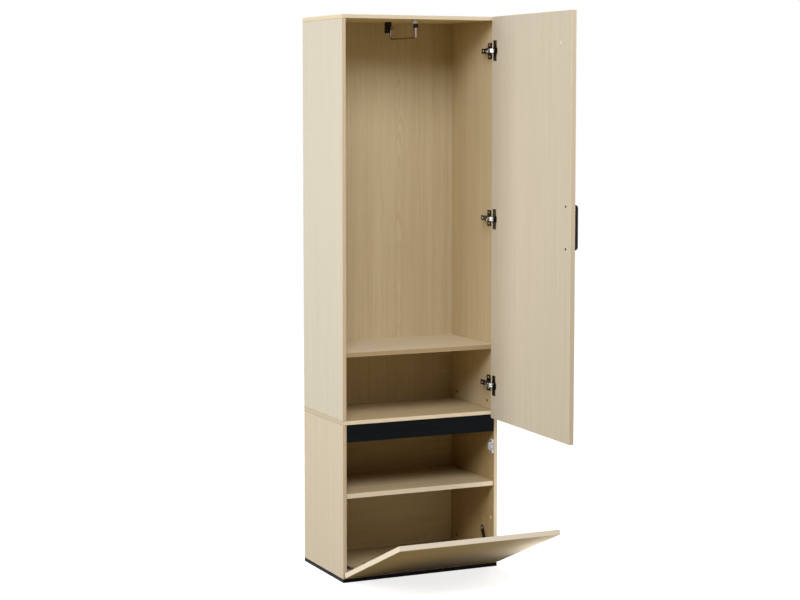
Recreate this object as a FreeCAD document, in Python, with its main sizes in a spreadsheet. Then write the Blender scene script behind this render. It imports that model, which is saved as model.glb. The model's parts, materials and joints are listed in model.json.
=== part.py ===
import FreeCAD, Part
import os
import re
from types import SimpleNamespace

import Sketcher

# A tall locker unit for a hall: an upper locker with one side-hung door, standing on a lower
# cabinet with a drop-down flap. Millimetres, X to the right, Y to the back, Z up, with the
# origin on the floor under the middle of the carcass. The door stands open and the flap half down.

# Driving dimensions.
SIZES = {
    # Carcass
    "unit_width": 550,
    "unit_depth": 330,
    "unit_height": 1800,
    "seam_height": 507,
    "base_height": 12,
    "side_board": 12,
    "panel_board": 12,
    "back_board": 12,
    "shelf_board": 15,
    "edge_round": 0.6,
    "upper_shelf_level": 214,
    "upper_shelf_setback": 12,
    "lower_shelf_level": 269,
    "lower_shelf_setback": 6,
    "shelf_end_gap": 0.5,
    "grip_rail_height": 57,
    "grip_rail_board": 12,
    "grip_rail_setback": 1,
    "rear_rail_width": 80,
    # Dowels and shelf pins
    "dowel_radius": 3,
    "dowel_shallow": 7,
    "dowel_deep": 20,
    "dowel_inset": 40,
    "stacking_inset": 70,
    "dowel_fit": 0.05,
    "dowel_end_play": 0.5,
    "pin_radius": 2.5,
    "pin_in_side": 8,
    "pin_reach": 9,
    "pin_setback": 39,
    "pin_pitch": 32,
    # Plugs and caps on the inner faces
    "plug_radius": 3.5,
    "plug_thick": 0.8,
    "plug_rise": 26,
    "plug_front_inset": 51,
    "plug_back_inset": 45,
    "back_cap_radius": 4.5,
    "back_cap_low": 27,
    "back_cap_high": 90,
    "back_cap_near": 28,
    "back_cap_far": 97,
    "side_cap_radius": 4,
    "side_cap_inset": 22,
    "side_cap_level": 159,
    # Door and flap
    "leaf_reveal": 1,
    "front_gap": 2,
    "leaf_board": 16,
    "door_drop": 10,
    "flap_length": 447,
    "door_angle": 88,
    "flap_angle": 67,
    # Concealed hinges, measured from the leaf's edge, the carcass front and the board they sit on
    "hinge_inset": 109,
    "flap_hinge_inset": 105,
    "link_ratio": -0.62,
    "inner_link_ratio": -0.56,
    "arm_pivot_lift": 23,
    "arm_pivot_back": 4,
    "inner_pivot_lift": 29,
    "inner_pivot_back": 2,
    "cup_pivot_edge": 10,
    "cup_pivot_depth": 2.4,
    "inner_end_edge": 13.3,
    "inner_end_depth": 3.2,
    "link_bend_depth": 7.8,
    "pivot_radius": 1.25,
    "cup_pin_radius": 1,
    "pivot_fit": 0.06,
    "link_half_width": 1.1,
    "link_layer_gap": 0.5,
    "link_layer": 5.5,
    "cup_radius": 17.5,
    "cup_wall": 0.8,
    "cup_depth": 11.5,
    "cup_centre": 22.5,
    "cup_fit": 0.1,
    "wing_start": 8.5,
    "wing_reach": 32.5,
    "wing_width": 22,
    "wing_thick": 1.2,
    "wing_screw": 24,
    "wing_screw_shift": 6,
    "plate_thick": 2.5,
    "plate_setback": 37,
    "plate_width": 25,
    "plate_height": 52,
    "plate_screw": 18,
    "plate_rail_rise": 7.5,
    "plate_rail_length": 34,
    "plate_rail_width": 12,
    "arm_thick": 5,
    "arm_width": 16,
    "arm_tail": 70,
    "arm_mouth": 20,
    "cheek_thick": 1.5,
    # Screws
    "screw_radius": 1.7,
    "screw_head_radius": 3.5,
    "screw_head": 1.6,
    "screw_sink": 8,
    "screw_fit": 0.05,
    # Handle
    "handle_centres": 128,
    "handle_leg": 10,
    "handle_width": 10,
    "handle_bar": 8,
    "handle_projection": 26,
    "handle_round": 3,
    "handle_level": 1151,
    "handle_from_edge": 30,
    "handle_screw_radius": 2,
    "handle_screw_grip": 9,
    "handle_head_radius": 4,
    "handle_head": 2,
    # Cap on the door's inner face
    "door_cap_radius": 5,
    "door_cap_thick": 1.5,
    "door_cap_from_edge": 70,
    "door_cap_from_top": 97,
    # Folding stays of the flap
    "stay_pivot_up": 102,
    "stay_pivot_back": 76,
    "stay_foot_edge": 20,
    "stay_foot_off": 9,
    "rocker_length": 76,
    "arm_length": 68,
    "rocker_angle": 156.4,
    "stay_arm_angle": -160.5,
    "stay_plate": 2,
    "stay_layer_gap": 0.7,
    "stay_strip_half": 4.5,
    "stay_pin_radius": 2.5,
    "stay_foot_pin_radius": 2,
    "stay_eye": 6,
    "stay_arm_eye": 5,
    "elbow_radius": 2,
    "elbow_play": 2.9,
    "elbow_eye": 7.4,
    "stay_wall_width": 18,
    "stay_wall_height": 48,
    "stay_wall_below": 9,
    "stay_wall_screw": 14,
    "stay_wall_pitch": 17,
    "stay_foot_length": 34,
    "stay_foot_width": 14,
    "stay_foot_screw": 11,
    # Push latch in the lower cabinet
    "latch_below_rail": 51,
    "latch_below_edge": 61,
    "latch_height": 45,
    "latch_proud": 13,
    "latch_depth": 19,
    "latch_setback": 2,
    "latch_screw": 18,
    "plunger_size": 8,
    "plunger_play": 0.3,
    "plunger_length": 17,
    "plunger_reach": 0.4,
    "plunger_travel": 4,
    "magnet_radius": 3,
    "magnet_length": 2,
    "strike_radius": 7,
    "strike_thick": 1,
    # Pull-out hanger rail under the top
    "rail_front": 52,
    "rail_rear_gap": 42,
    "rail_rod_drop": 19,
    "rail_rod_radius": 4,
    "rail_wire_drop": 57,
    "rail_wire_radius": 2.5,
    "rail_bend": 9,
    "rail_bracket_width": 12,
    "rail_rear_length": 29,
    "rail_rear_height": 37,
    "rail_rod_seat": 8,
    "rail_screw_inset": 6,
    "rail_screw_pitch": 9,
    "rail_front_length": 10,
    "rail_front_thick": 2,
    "rail_front_height": 26,
    "rail_flange": 16,
    "rail_knob_length": 12,
    "rail_knob_size": 13,
    "rail_slider_length": 12,
    "rail_slider_radius": 7,
    "rail_gap": 1,
    "rail_fit": 0.08,
}

doc = FreeCAD.newDocument("locker_unit")
sheet = doc.addObject("Spreadsheet::Sheet", "Sizes")
for row, (alias, number) in enumerate(SIZES.items(), start=1):
    sheet.set(f"A{row}", alias.replace("_", " "))
    sheet.set(f"B{row}", str(number))
    sheet.setAlias(f"B{row}", alias)
doc.recompute()
s = SimpleNamespace(**{alias: float(sheet.get(alias)) for alias in SIZES})

# Places that several pieces share, as expressions over the sheet.
INNER = "(unit_width / 2 - side_board)"
FRONT = "(-unit_depth / 2)"
BACK_FACE = "(unit_depth / 2 - back_board)"
TOP_UNDERSIDE = "(unit_height - panel_board)"
FLOOR_TOP = "(base_height + panel_board)"
UPPER_FLOOR_TOP = "(seam_height + panel_board)"
DOOR_BOTTOM = "(seam_height - door_drop)"
LEAF_WIDTH = "(unit_width - 2 * leaf_reveal)"
CUP_CENTRE = "(leaf_reveal + cup_centre)"
RAIL_BOTTOM = "(seam_height - grip_rail_height)"
FLAP_TOP = "(base_height + leaf_reveal + flap_length)"
# The latch hangs under the grip rail, and low enough to meet the shut flap.
LATCH_LEVEL = f"min({RAIL_BOTTOM} - latch_below_rail; {FLAP_TOP} - latch_below_edge)"

# A leaf's own frame, with the leaf shut: x from the carcass's outer face across the leaf,
# y out of the carcass front, z along the hinge line.
DOOR_FRAME = "placement(vector(unit_width / 2; -unit_depth / 2; 0); rotationz(180))"
FLAP_FRAME = "placement(vector(0; -unit_depth / 2; base_height); rotation(vector(1; 0; 1); 180))"

TURNS = {"x": "rotationy(90)", "y": "rotationx(-90)", "z": "rotationz(0)"}
NODES = {}
DRILLS = {}
GROUPS = {}


def bind(obj, prop, text):
    """Ties a property to an expression, where each alias stands for its cell in the sheet."""
    named = re.sub(r"[a-z]\w+", lambda m: "Sizes." + m.group() if m.group() in SIZES else m.group(), text)
    obj.setExpression(prop, named)


def place(obj, at, axis="z", frame=None):
    """Puts a piece at a point, with its own z along the given axis, inside a frame if one is named."""
    x, y, z = at
    spot = f"placement(vector({x}; {y}; {z}); {TURNS[axis]})"
    bind(obj, "Placement", f"{frame} * {spot}" if frame else spot)


def box(size, at, frame=None):
    """A block given by its three sizes and its lowest corner."""
    obj = doc.addObject("Part::Box", "Block")
    for prop, text in zip(("Length", "Width", "Height"), size):
        bind(obj, prop, text)
    place(obj, at, "z", frame)
    return obj


def rod(radius, length, at, axis="z", frame=None):
    """A round bar from a point along an axis."""
    obj = doc.addObject("Part::Cylinder", "Rod")
    bind(obj, "Radius", radius)
    bind(obj, "Height", length)
    place(obj, at, axis, frame)
    return obj


def fuse(parts):
    """One solid from parts that overlap or share faces."""
    obj = doc.addObject("Part::MultiFuse", "Joined")
    obj.Shapes = parts
    obj.Refine = True
    return obj


def cut(base, tools):
    """The base with every tool taken out of it."""
    obj = doc.addObject("Part::Cut", "Drilled")
    obj.Base = base
    obj.Tool = tools[0] if len(tools) == 1 else fuse(tools)
    return obj


def node(label, obj):
    """Keeps a finished piece under its name."""
    obj.Label = label
    NODES[label] = obj
    return obj


def gather(label, parts):
    """Several separate solids that share one name."""
    obj = doc.addObject("Part::Compound", "Group")
    obj.Links = parts
    return node(label, obj)


def bore(boards, radius, length, at, axis, frame=None):
    """A hole that is taken out of each of the named pieces when they are made."""
    hole = rod(radius, length, at, axis, frame)
    for board_label in boards:
        DRILLS.setdefault(board_label, []).append(hole)


def shifted(at, axis, step):
    """A point moved along one axis by an expression."""
    moved = list(at)
    moved["xyz".index(axis)] = f"({moved['xyz'.index(axis)]}) + ({step})"
    return moved


def peg(group, boards, radius, length, at, axis):
    """A dowel or pin, with its hole, a fit wider and an end play longer, in the boards it joins."""
    GROUPS.setdefault(group, []).append(rod(radius, length, at, axis))
    start = shifted(at, axis, "-dowel_end_play")
    bore(boards, f"{radius} + dowel_fit", f"{length} + 2 * dowel_end_play", start, axis)


def screw(group, boards, seat, axis, head_side, sink, frame=None, sizes=("screw_radius", "screw_head_radius", "screw_head")):
    """A screw with its head on a seat: the shank sinks away from the head's side of the axis."""
    radius, head_radius, head = sizes
    out, back = (head, f"-({sink})") if head_side > 0 else (f"-({head})", sink)
    head_from = seat if head_side > 0 else shifted(seat, axis, out)
    shank_from = shifted(seat, axis, back) if head_side > 0 else seat
    parts = [rod(head_radius, head, head_from, axis, frame), rod(radius, sink, shank_from, axis, frame)]
    GROUPS.setdefault(group, []).append(fuse(parts))
    hole_from = shifted(shank_from, axis, "-dowel_end_play") if head_side > 0 else shank_from
    bore(boards, f"{radius} + screw_fit", f"{sink} + dowel_end_play", hole_from, axis, frame)


def board(label, size, at, frame=None):
    """A board with softened edges and its holes."""
    blank = box(size, at, frame)
    eased = doc.addObject("Part::Fillet", "Eased")
    eased.Base = blank
    eased.Edges = [(edge, s.edge_round, s.edge_round) for edge in range(1, 13)]
    holes = DRILLS.get(label, [])
    return node(label, cut(eased, holes) if holes else eased)


def padded_body(outline, length, at, axis="z", frame=None):
    """A body padded from a closed sketch, whose corners are tied to the sheet, centred on its plane."""
    body = doc.addObject("PartDesign::Body", "Profile")
    sketch = body.newObject("Sketcher::SketchObject", "Outline")
    plane = next(f for f in body.Origin.OriginFeatures if f.Role == "XY_Plane")
    sketch.AttachmentSupport = [(plane, "")]
    sketch.MapMode = "FlatFace"
    count = len(outline)
    # Rough corners on a ring; the ties below give the real ones.
    ring = [Part.Circle(FreeCAD.Vector(), FreeCAD.Vector(0, 0, 1), 10).value(6.28 * i / count) for i in range(count)]
    for i in range(count):
        sketch.addGeometry(Part.LineSegment(ring[i], ring[(i + 1) % count]), False)
    for i in range(count):
        sketch.addConstraint(Sketcher.Constraint("Coincident", i, 2, (i + 1) % count, 1))
    for i, corner in enumerate(outline):
        for kind, text in zip(("DistanceX", "DistanceY"), corner):
            tie = sketch.addConstraint(Sketcher.Constraint(kind, -1, 1, i, 1, getattr(ring[i], kind[-1].lower())))
            bind(sketch, f"Constraints[{tie}]", text)
    pad = body.newObject("PartDesign::Pad", "Pad")
    pad.Profile = sketch
    pad.Midplane = True
    bind(pad, "Length", length)
    place(body, at, axis, frame)
    return body


def strip(points, half, low, high, eyes):
    """A flat strip of even width along a bent line, with round eyes, some of them bored."""
    line = Part.makePolygon([FreeCAD.Vector(x, y, low) for x, y in points])
    shape = Part.Face(line.makeOffset2D(half, 0, False, False, False)).extrude(FreeCAD.Vector(0, 0, high - low))
    for (x, y), outer, _ in eyes:
        shape = shape.fuse(Part.makeCylinder(outer, high - low, FreeCAD.Vector(x, y, low)))
    for (x, y), _, inner in eyes:
        if inner:
            shape = shape.cut(Part.makeCylinder(inner, high - low, FreeCAD.Vector(x, y, low)))
    return shape.removeSplitter()


def flat_bar(length, low, frame, eyes, bores):
    """A straight flat bar from the frame's origin along its x, with a bored eye at each end."""
    ends = (("0", "0", low), (length, "0", low))
    strap = box((length, "2 * stay_strip_half", "stay_plate"), ("0", "-stay_strip_half", low), frame)
    rounds = [rod(eye, "stay_plate", end, "z", frame) for eye, end in zip(eyes, ends)]
    holes = [rod(hole, "stay_plate", end, "z", frame) for hole, end in zip(bores, ends)]
    return cut(fuse([strap, *rounds]), holes)


def shaped(shape, frame):
    """A document object that holds a computed shape, put into a frame."""
    obj = doc.addObject("Part::Feature", "Shaped")
    obj.Shape = shape
    bind(obj, "Placement", frame)
    return obj


def arm_pivot(wall):
    return f"({wall} + arm_pivot_lift)", "(-arm_pivot_back)"


CUP_PIVOT = ("(leaf_reveal + cup_pivot_edge)", "(front_gap + cup_pivot_depth)")


def turned(frame, pivot, angle, back=True):
    """A frame turned about a pivot line, with the piece's own coordinates kept or moved to the pivot."""
    x, y = pivot
    text = f"{frame} * placement(vector({x}; {y}; 0); rotationz({angle}))"
    return f"{text} * placement(vector(-{x}; -{y}; 0); rotationz(0))" if back else text


def link_frame(frame, wall, angle):
    return turned(frame, arm_pivot(wall), f"link_ratio * {angle}")


def leaf_frame(frame, wall, angle):
    """A leaf's frame at its rest angle: it turns on the links, which turn on the arms."""
    return turned(link_frame(frame, wall, angle), CUP_PIVOT, f"(1 - link_ratio) * {angle}")


def along(frame, height):
    """A frame moved along the hinge line."""
    return f"{frame} * placement(vector(0; 0; {height}); rotationz(0))"


DOOR_LEAF = leaf_frame(DOOR_FRAME, "side_board", "door_angle")
FLAP_LEAF = leaf_frame(FLAP_FRAME, "panel_board", "flap_angle")
SIDES = (("left", -1), ("right", 1))
# The upper shelf stands above the seam, the lower one above the floor
SHELF_LEVELS = {"upper": "(seam_height + upper_shelf_level)", "lower": "lower_shelf_level"}


def carcass_pegs():
    """Dowels between the boards, from front to back."""
    long_way = "dowel_shallow + dowel_deep"
    for side, sign in SIDES:
        x = f"{INNER} - dowel_deep" if sign > 0 else f"-{INNER} - dowel_shallow"
        edge = f"{sign} * (unit_width / 2 - side_board / 2)"
        for y in (f"{FRONT} + dowel_inset", f"{BACK_FACE} - dowel_inset"):
            peg("panel_dowels", ["lower_floor", f"lower_side_{side}"], "dowel_radius", long_way,
                (x, y, "base_height + panel_board / 2"), "x")
            for label, z in (("top_panel", f"{TOP_UNDERSIDE} - dowel_deep"),
                             ("upper_floor", f"{UPPER_FLOOR_TOP} - dowel_shallow")):
                peg("panel_dowels", [label, f"upper_side_{side}"], "dowel_radius", long_way, (edge, y, z), "z")
        for y in (f"{FRONT} + stacking_inset", f"{BACK_FACE} - stacking_inset"):
            peg("stacking_dowels", [f"lower_side_{side}", "upper_floor"], "dowel_radius", long_way,
                (edge, y, "seam_height - dowel_deep"), "z")
        rail_y = f"{FRONT} + grip_rail_setback + grip_rail_board / 2"
        peg("panel_dowels", ["grip_rail", f"lower_side_{side}"], "dowel_radius", long_way,
            (x, rail_y, "seam_height - grip_rail_height / 2"), "x")
        peg("panel_dowels", ["lower_rear_rail", f"lower_side_{side}"], "dowel_radius", long_way,
            (x, f"{BACK_FACE} - rear_rail_width / 2", "seam_height - panel_board / 2"), "x")


def shelf_pins():
    """Rows of pin holes in the sides, with a pin in the middle hole of each row under its shelf."""
    for unit, level in SHELF_LEVELS.items():
        for side, sign in SIDES:
            hole_x = f"{INNER}" if sign > 0 else f"-{INNER} - pin_in_side"
            pin_x = f"{INNER} - pin_reach" if sign > 0 else f"-{INNER} - pin_in_side"
            for y in (f"{FRONT} + pin_setback", f"{BACK_FACE} - pin_setback"):
                for step in (-1, 0, 1):
                    z = f"{level} - pin_radius + {step} * pin_pitch"
                    bore([f"{unit}_side_{side}"], "pin_radius + dowel_fit", "pin_in_side", (hole_x, y, z), "x")
                pin = rod("pin_radius", "pin_in_side + pin_reach", (pin_x, y, f"{level} - pin_radius"), "x")
                GROUPS.setdefault("shelf_pins", []).append(pin)


def hinge_heights():
    """Heights of the door's three hinges and places of the flap's two along their hinge lines."""
    bottom, top = f"({DOOR_BOTTOM} + hinge_inset)", "(unit_height - hinge_inset)"
    door = [bottom, f"(({bottom} + {top}) / 2)", top]
    flap = ["(-unit_width / 2 + flap_hinge_inset)", "(unit_width / 2 - flap_hinge_inset)"]
    return door, flap


def hinge(leaf, frame, wall, wall_board, leaf_board_label, angle, height):
    """One concealed hinge: cross plate and arm on the carcass, cup in the leaf and two links between."""
    fixed = along(frame, height)
    swung = along(leaf_frame(frame, wall, angle), height)
    pivot, inner_pivot = arm_pivot(wall), (f"({wall} + inner_pivot_lift)", "(-inner_pivot_back)")
    plate_label, cup_label = f"{leaf}_hinge_plates", f"{leaf}_hinge_cups"

    # Cross plate with its raised rail and two screws
    rail = f"({wall} + plate_thick)"
    plate = fuse([
        box(("plate_thick", "plate_width", "plate_height"),
            (wall, "-plate_setback - plate_width / 2", "-plate_height / 2"), fixed),
        box(("plate_rail_rise", "plate_rail_length", "plate_rail_width"),
            (rail, "-plate_setback - plate_rail_length / 2", "-plate_rail_width / 2"), fixed)])
    for sign in (-1, 1):
        screw(f"{leaf}_plate_screws", [plate_label, wall_board], (rail, "-plate_setback", f"{sign} * plate_screw"),
              "x", 1, "screw_sink + plate_thick", fixed)
    GROUPS.setdefault(plate_label, []).append(cut(plate, DRILLS[plate_label][-2:]))

    # Arm: a bar on the plate's rail that rises to two cheeks with the pivot pins
    seat = f"({wall} + plate_thick + plate_rail_rise)"
    back = f"{seat} + arm_thick"
    nose = f"{inner_pivot[0]} + 2.4 * pivot_radius"
    cheeks = padded_body([(seat, "-arm_mouth - 3 * arm_thick"), (back, "-arm_mouth - 3 * arm_thick"),
                          (nose, f"{inner_pivot[1]} - arm_thick"), (nose, f"{inner_pivot[1]} + 1.8 * pivot_radius"),
                          (f"{pivot[0]} - 2.5 * pivot_radius", f"{pivot[1]} + 1.2 * pivot_radius"),
                          (seat, "-arm_mouth + 2 * cheek_thick")], "arm_width", ("0", "0", "0"), "z", fixed)
    tail = box(("arm_thick", "arm_tail - arm_mouth", "arm_width"), (seat, "-arm_tail", "-arm_width / 2"), fixed)
    mouth = box(("inner_pivot_lift", "arm_mouth + arm_thick", "arm_width - 2 * cheek_thick"),
                (f"{seat} - arm_thick", "-arm_mouth", "cheek_thick - arm_width / 2"), fixed)
    pin_length = "arm_width / 2 - cheek_thick / 2 - link_layer_gap / 2"
    pin_from = "link_layer_gap / 2"
    arm = fuse([cut(fuse([cheeks, tail]), [mouth]),
                rod("pivot_radius", pin_length, (*pivot, pin_from), "z", fixed),
                rod("pivot_radius", pin_length, (*inner_pivot, f"-{pin_from} - ({pin_length})"), "z", fixed)])
    GROUPS.setdefault(f"{leaf}_hinge_arms", []).append(arm)

    # Cup let into the leaf, with its wings, screws and the lug that holds the link's pin
    mouth_y = "front_gap"
    shell = cut(rod("cup_radius", "cup_depth", (CUP_CENTRE, mouth_y, "0"), "y", swung),
                [rod("cup_radius - cup_wall", "cup_depth - cup_wall", (CUP_CENTRE, mouth_y, "0"), "y", swung)])
    lug_from = "link_layer_gap + link_layer + link_layer_gap"
    lug = box(("4 * cup_pin_radius", "2 * cup_pivot_depth", "arm_width / 2 + link_layer_gap - link_layer"),
              (f"{CUP_PIVOT[0]} - 2 * cup_pin_radius", mouth_y, lug_from), swung)
    pin = rod("cup_pin_radius", f"{lug_from} - link_layer_gap / 2 + cup_pin_radius",
              (*CUP_PIVOT, "link_layer_gap / 2"), "z", swung)
    wings = [box(("wing_width", "wing_thick", "wing_reach - wing_start"),
                 (f"{CUP_CENTRE} - wing_width / 2", "front_gap - wing_thick", z), swung)
             for z in ("wing_start", "-wing_reach")]
    for sign in (-1, 1):
        screw(f"{leaf}_cup_screws", [cup_label, leaf_board_label],
              (f"{CUP_CENTRE} + wing_screw_shift", "front_gap - wing_thick", f"{sign} * wing_screw"),
              "y", -1, "screw_sink + wing_thick", swung)
    GROUPS.setdefault(cup_label, []).append(cut(fuse([shell, lug, pin, *wings]), DRILLS[cup_label][-2:]))
    bore([leaf_board_label], "cup_radius + cup_fit", "cup_depth + cup_fit", (CUP_CENTRE, mouth_y, "0"), "y", swung)

    # Links, hooked round the leaf's edge into the cup
    wall_size = getattr(s, wall)
    ax, ay = wall_size + s.arm_pivot_lift, -s.arm_pivot_back
    bx, by = s.leaf_reveal + s.cup_pivot_edge, s.front_gap + s.cup_pivot_depth
    bend = s.front_gap + s.link_bend_depth
    eye = 2 * s.pivot_radius
    outer = [(ax, ay), (ax - eye * 2, ay + 7), (bx + 11, bend), (bx + 1, bend), (bx, by)]
    low = s.link_layer_gap
    shape = strip(outer, s.link_half_width, low, low + s.link_layer,
                  [((ax, ay), eye, s.pivot_radius + s.pivot_fit),
                   ((bx, by), 2 * s.cup_pin_radius, s.cup_pin_radius + s.pivot_fit)])
    GROUPS.setdefault(f"{leaf}_hinge_links", []).append(shaped(shape, along(link_frame(frame, wall, angle), height)))
    cx, cy = wall_size + s.inner_pivot_lift, -s.inner_pivot_back
    dx, dy = s.leaf_reveal + s.inner_end_edge, s.front_gap + s.inner_end_depth
    inner = [(cx, cy), (cx - 7, cy + 6.5), (bx + 15, bend - 0.3), (dx + 0.7, bend - 0.3), (dx, dy)]
    shape = strip(inner, s.link_half_width - 0.1, -low - s.link_layer, -low,
                  [((cx, cy), eye, s.pivot_radius + s.pivot_fit)])
    inner_frame = turned(frame, inner_pivot, f"inner_link_ratio * {angle}")
    GROUPS.setdefault(f"{leaf}_inner_links", []).append(shaped(shape, along(inner_frame, height)))


def hinges():
    door_heights, flap_heights = hinge_heights()
    for height in door_heights:
        hinge("door", DOOR_FRAME, "side_board", "upper_side_right", "door_panel", "door_angle", height)
    for height in flap_heights:
        hinge("flap", FLAP_FRAME, "panel_board", "lower_floor", "flap_panel", "flap_angle", height)


def handle():
    """A bow handle near the door's free edge, held by two screws through the door."""
    centre = f"(leaf_reveal + {LEAF_WIDTH} - handle_from_edge)"
    outer_face = "(front_gap + leaf_board)"
    reach, half = "handle_projection", "(handle_centres / 2 + handle_leg / 2)"
    inner = "(handle_centres / 2 - handle_leg / 2)"
    profile = [("0", f"-{half}"), (reach, f"-{half}"), (reach, half), ("0", half), ("0", inner),
               (f"{reach} - handle_bar", inner), (f"{reach} - handle_bar", f"-{inner}"), ("0", f"-{inner}")]
    bow = padded_body(profile, "handle_width", ("0", "0", "0"))
    doc.recompute()
    # Edges that bound the outside of the bow get a round.
    wanted = []
    for number, edge in enumerate(bow.Tip.Shape.Edges, start=1):
        ends = [vertex.Point for vertex in edge.Vertexes]
        if all(point.x > s.handle_projection - 0.01 for point in ends):
            wanted.append(f"Edge{number}")
    pad = bow.Tip
    rounding = bow.newObject("PartDesign::Fillet", "Rounding")
    rounding.Base = (pad, wanted)
    bind(rounding, "Radius", "handle_round")
    bind(bow, "Placement", f"{DOOR_LEAF} * placement(vector({centre}; {outer_face}; handle_level);"
         " rotation(vector(1; 1; 1); 120))")
    seat = "front_gap"
    for sign in (-1, 1):
        screw("handle_screws", ["door_panel", "door_handle"],
              (centre, seat, f"handle_level + {sign} * handle_centres / 2"), "y", -1,
              "leaf_board + handle_screw_grip", DOOR_LEAF, ("handle_screw_radius", "handle_head_radius", "handle_head"))
    node("door_handle", cut(bow, DRILLS["door_handle"]))


def door():
    """The door board, hung at the right, and the cap on its inner face."""
    board("door_panel", (LEAF_WIDTH, "leaf_board", f"unit_height - {DOOR_BOTTOM}"),
          ("leaf_reveal", "front_gap", DOOR_BOTTOM), DOOR_LEAF)
    node("door_cap", rod("door_cap_radius", "door_cap_thick",
                         (f"leaf_reveal + {LEAF_WIDTH} - door_cap_from_edge", "front_gap - door_cap_thick",
                          "unit_height - door_cap_from_top"), "y", DOOR_LEAF))


def flap():
    """The flap board, hung at its lower edge, and the steel disc that the latch's magnet holds."""
    board("flap_panel", ("flap_length", "leaf_board", LEAF_WIDTH),
          ("leaf_reveal", "front_gap", f"-{LEAF_WIDTH} / 2"), FLAP_LEAF)
    node("latch_strike", rod("strike_radius", "strike_thick",
                             (f"{LATCH_LEVEL} - base_height", "front_gap - strike_thick", f"{INNER} - latch_proud / 2"),
                             "y", FLAP_LEAF))


def stays():
    """Folding stays at both ends of the flap: wall plate, rocker, arm and a foot on the flap."""
    pivot = ("stay_pivot_up", "-stay_pivot_back")
    foot = ("(leaf_reveal + stay_foot_edge)", "(front_gap - stay_foot_off)")
    step = "(stay_plate + stay_layer_gap)"
    for side, sign in SIDES:
        wall = f"{sign} * {INNER}"

        def layer(number):
            """Lowest place along the hinge line of a sheet that lies so many layers in from the wall."""
            return f"{INNER} - {number} * {step} - stay_plate" if sign > 0 else f"-{INNER} + {number} * {step}"

        plate_box = box(("stay_wall_height", "stay_wall_width", "stay_plate"),
                        ("stay_pivot_up - stay_wall_below", "-stay_pivot_back - stay_wall_width / 2", layer(0)),
                        FLAP_FRAME)
        pin_length = f"{step} + stay_plate"
        pin_from = f"{wall} - ({pin_length})" if sign > 0 else wall
        plate = fuse([plate_box, rod("stay_pin_radius", pin_length, (*pivot, pin_from), "z", FLAP_FRAME)])
        label = "stay_wall_plates"
        for turn in (0, 1):
            rise = f"stay_pivot_up + stay_wall_screw + {turn} * stay_wall_pitch"
            screw("stay_wall_screws", [label, f"lower_side_{side}"],
                  (rise, "-stay_pivot_back", f"{wall} - {sign} * stay_plate"),
                  "z", -sign, "screw_sink + stay_plate", FLAP_FRAME)
        GROUPS.setdefault(label, []).append(cut(plate, DRILLS[label][-2:]))

        # Rocker on the wall pin, with a wide eye at the elbow
        rocker_frame = turned(FLAP_FRAME, pivot, "rocker_angle", back=False)
        GROUPS.setdefault("stay_rockers", []).append(
            flat_bar("rocker_length", layer(1), rocker_frame, ("stay_eye", "elbow_eye"),
                     ("stay_pin_radius + pivot_fit", "elbow_radius + elbow_play")))

        # Arm on the flap's foot, with the elbow pin
        arm_frame = turned(FLAP_LEAF, foot, "stay_arm_angle", back=False)
        GROUPS.setdefault("stay_arms", []).append(
            flat_bar("arm_length", layer(2), arm_frame, ("stay_arm_eye", "stay_arm_eye"),
                     ("stay_foot_pin_radius + pivot_fit", "elbow_radius")))
        elbow_from = layer(2) if sign > 0 else layer(1)
        elbow = rod("elbow_radius", f"{step} + stay_plate", ("arm_length", "0", elbow_from), "z", arm_frame)
        GROUPS.setdefault("elbow_pins", []).append(elbow)

        # Foot on the flap: a plate with an upright ear and its pin
        ear = box(("stay_foot_width", "stay_foot_off + stay_strip_half", "stay_plate"),
                  (f"{foot[0]} - stay_foot_width / 2", f"{foot[1]} - stay_strip_half", layer(3)), FLAP_LEAF)
        sole_from = f"{INNER} - 3 * {step} - stay_foot_length" if sign > 0 else layer(3)
        sole = box(("stay_foot_width", "stay_plate", "stay_foot_length"),
                   (f"{foot[0]} - stay_foot_width / 2", "front_gap - stay_plate", sole_from), FLAP_LEAF)
        foot_pin_from = layer(3) if sign > 0 else layer(2)
        pin = rod("stay_foot_pin_radius", f"{step} + stay_plate", (*foot, foot_pin_from), "z", FLAP_LEAF)
        label = "stay_flap_feet"
        middle = f"{sign} * ({INNER} - 3 * {step} - stay_plate / 2 - stay_foot_length / 2)"
        for way in (-1, 1):
            screw("stay_foot_screws", [label, "flap_panel"],
                  (foot[0], "front_gap - stay_plate", f"{middle} + {way} * stay_foot_screw"), "y", -1,
                  "screw_sink + stay_plate", FLAP_LEAF)
        GROUPS.setdefault(label, []).append(cut(fuse([ear, sole, pin]), DRILLS[label][-2:]))


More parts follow.
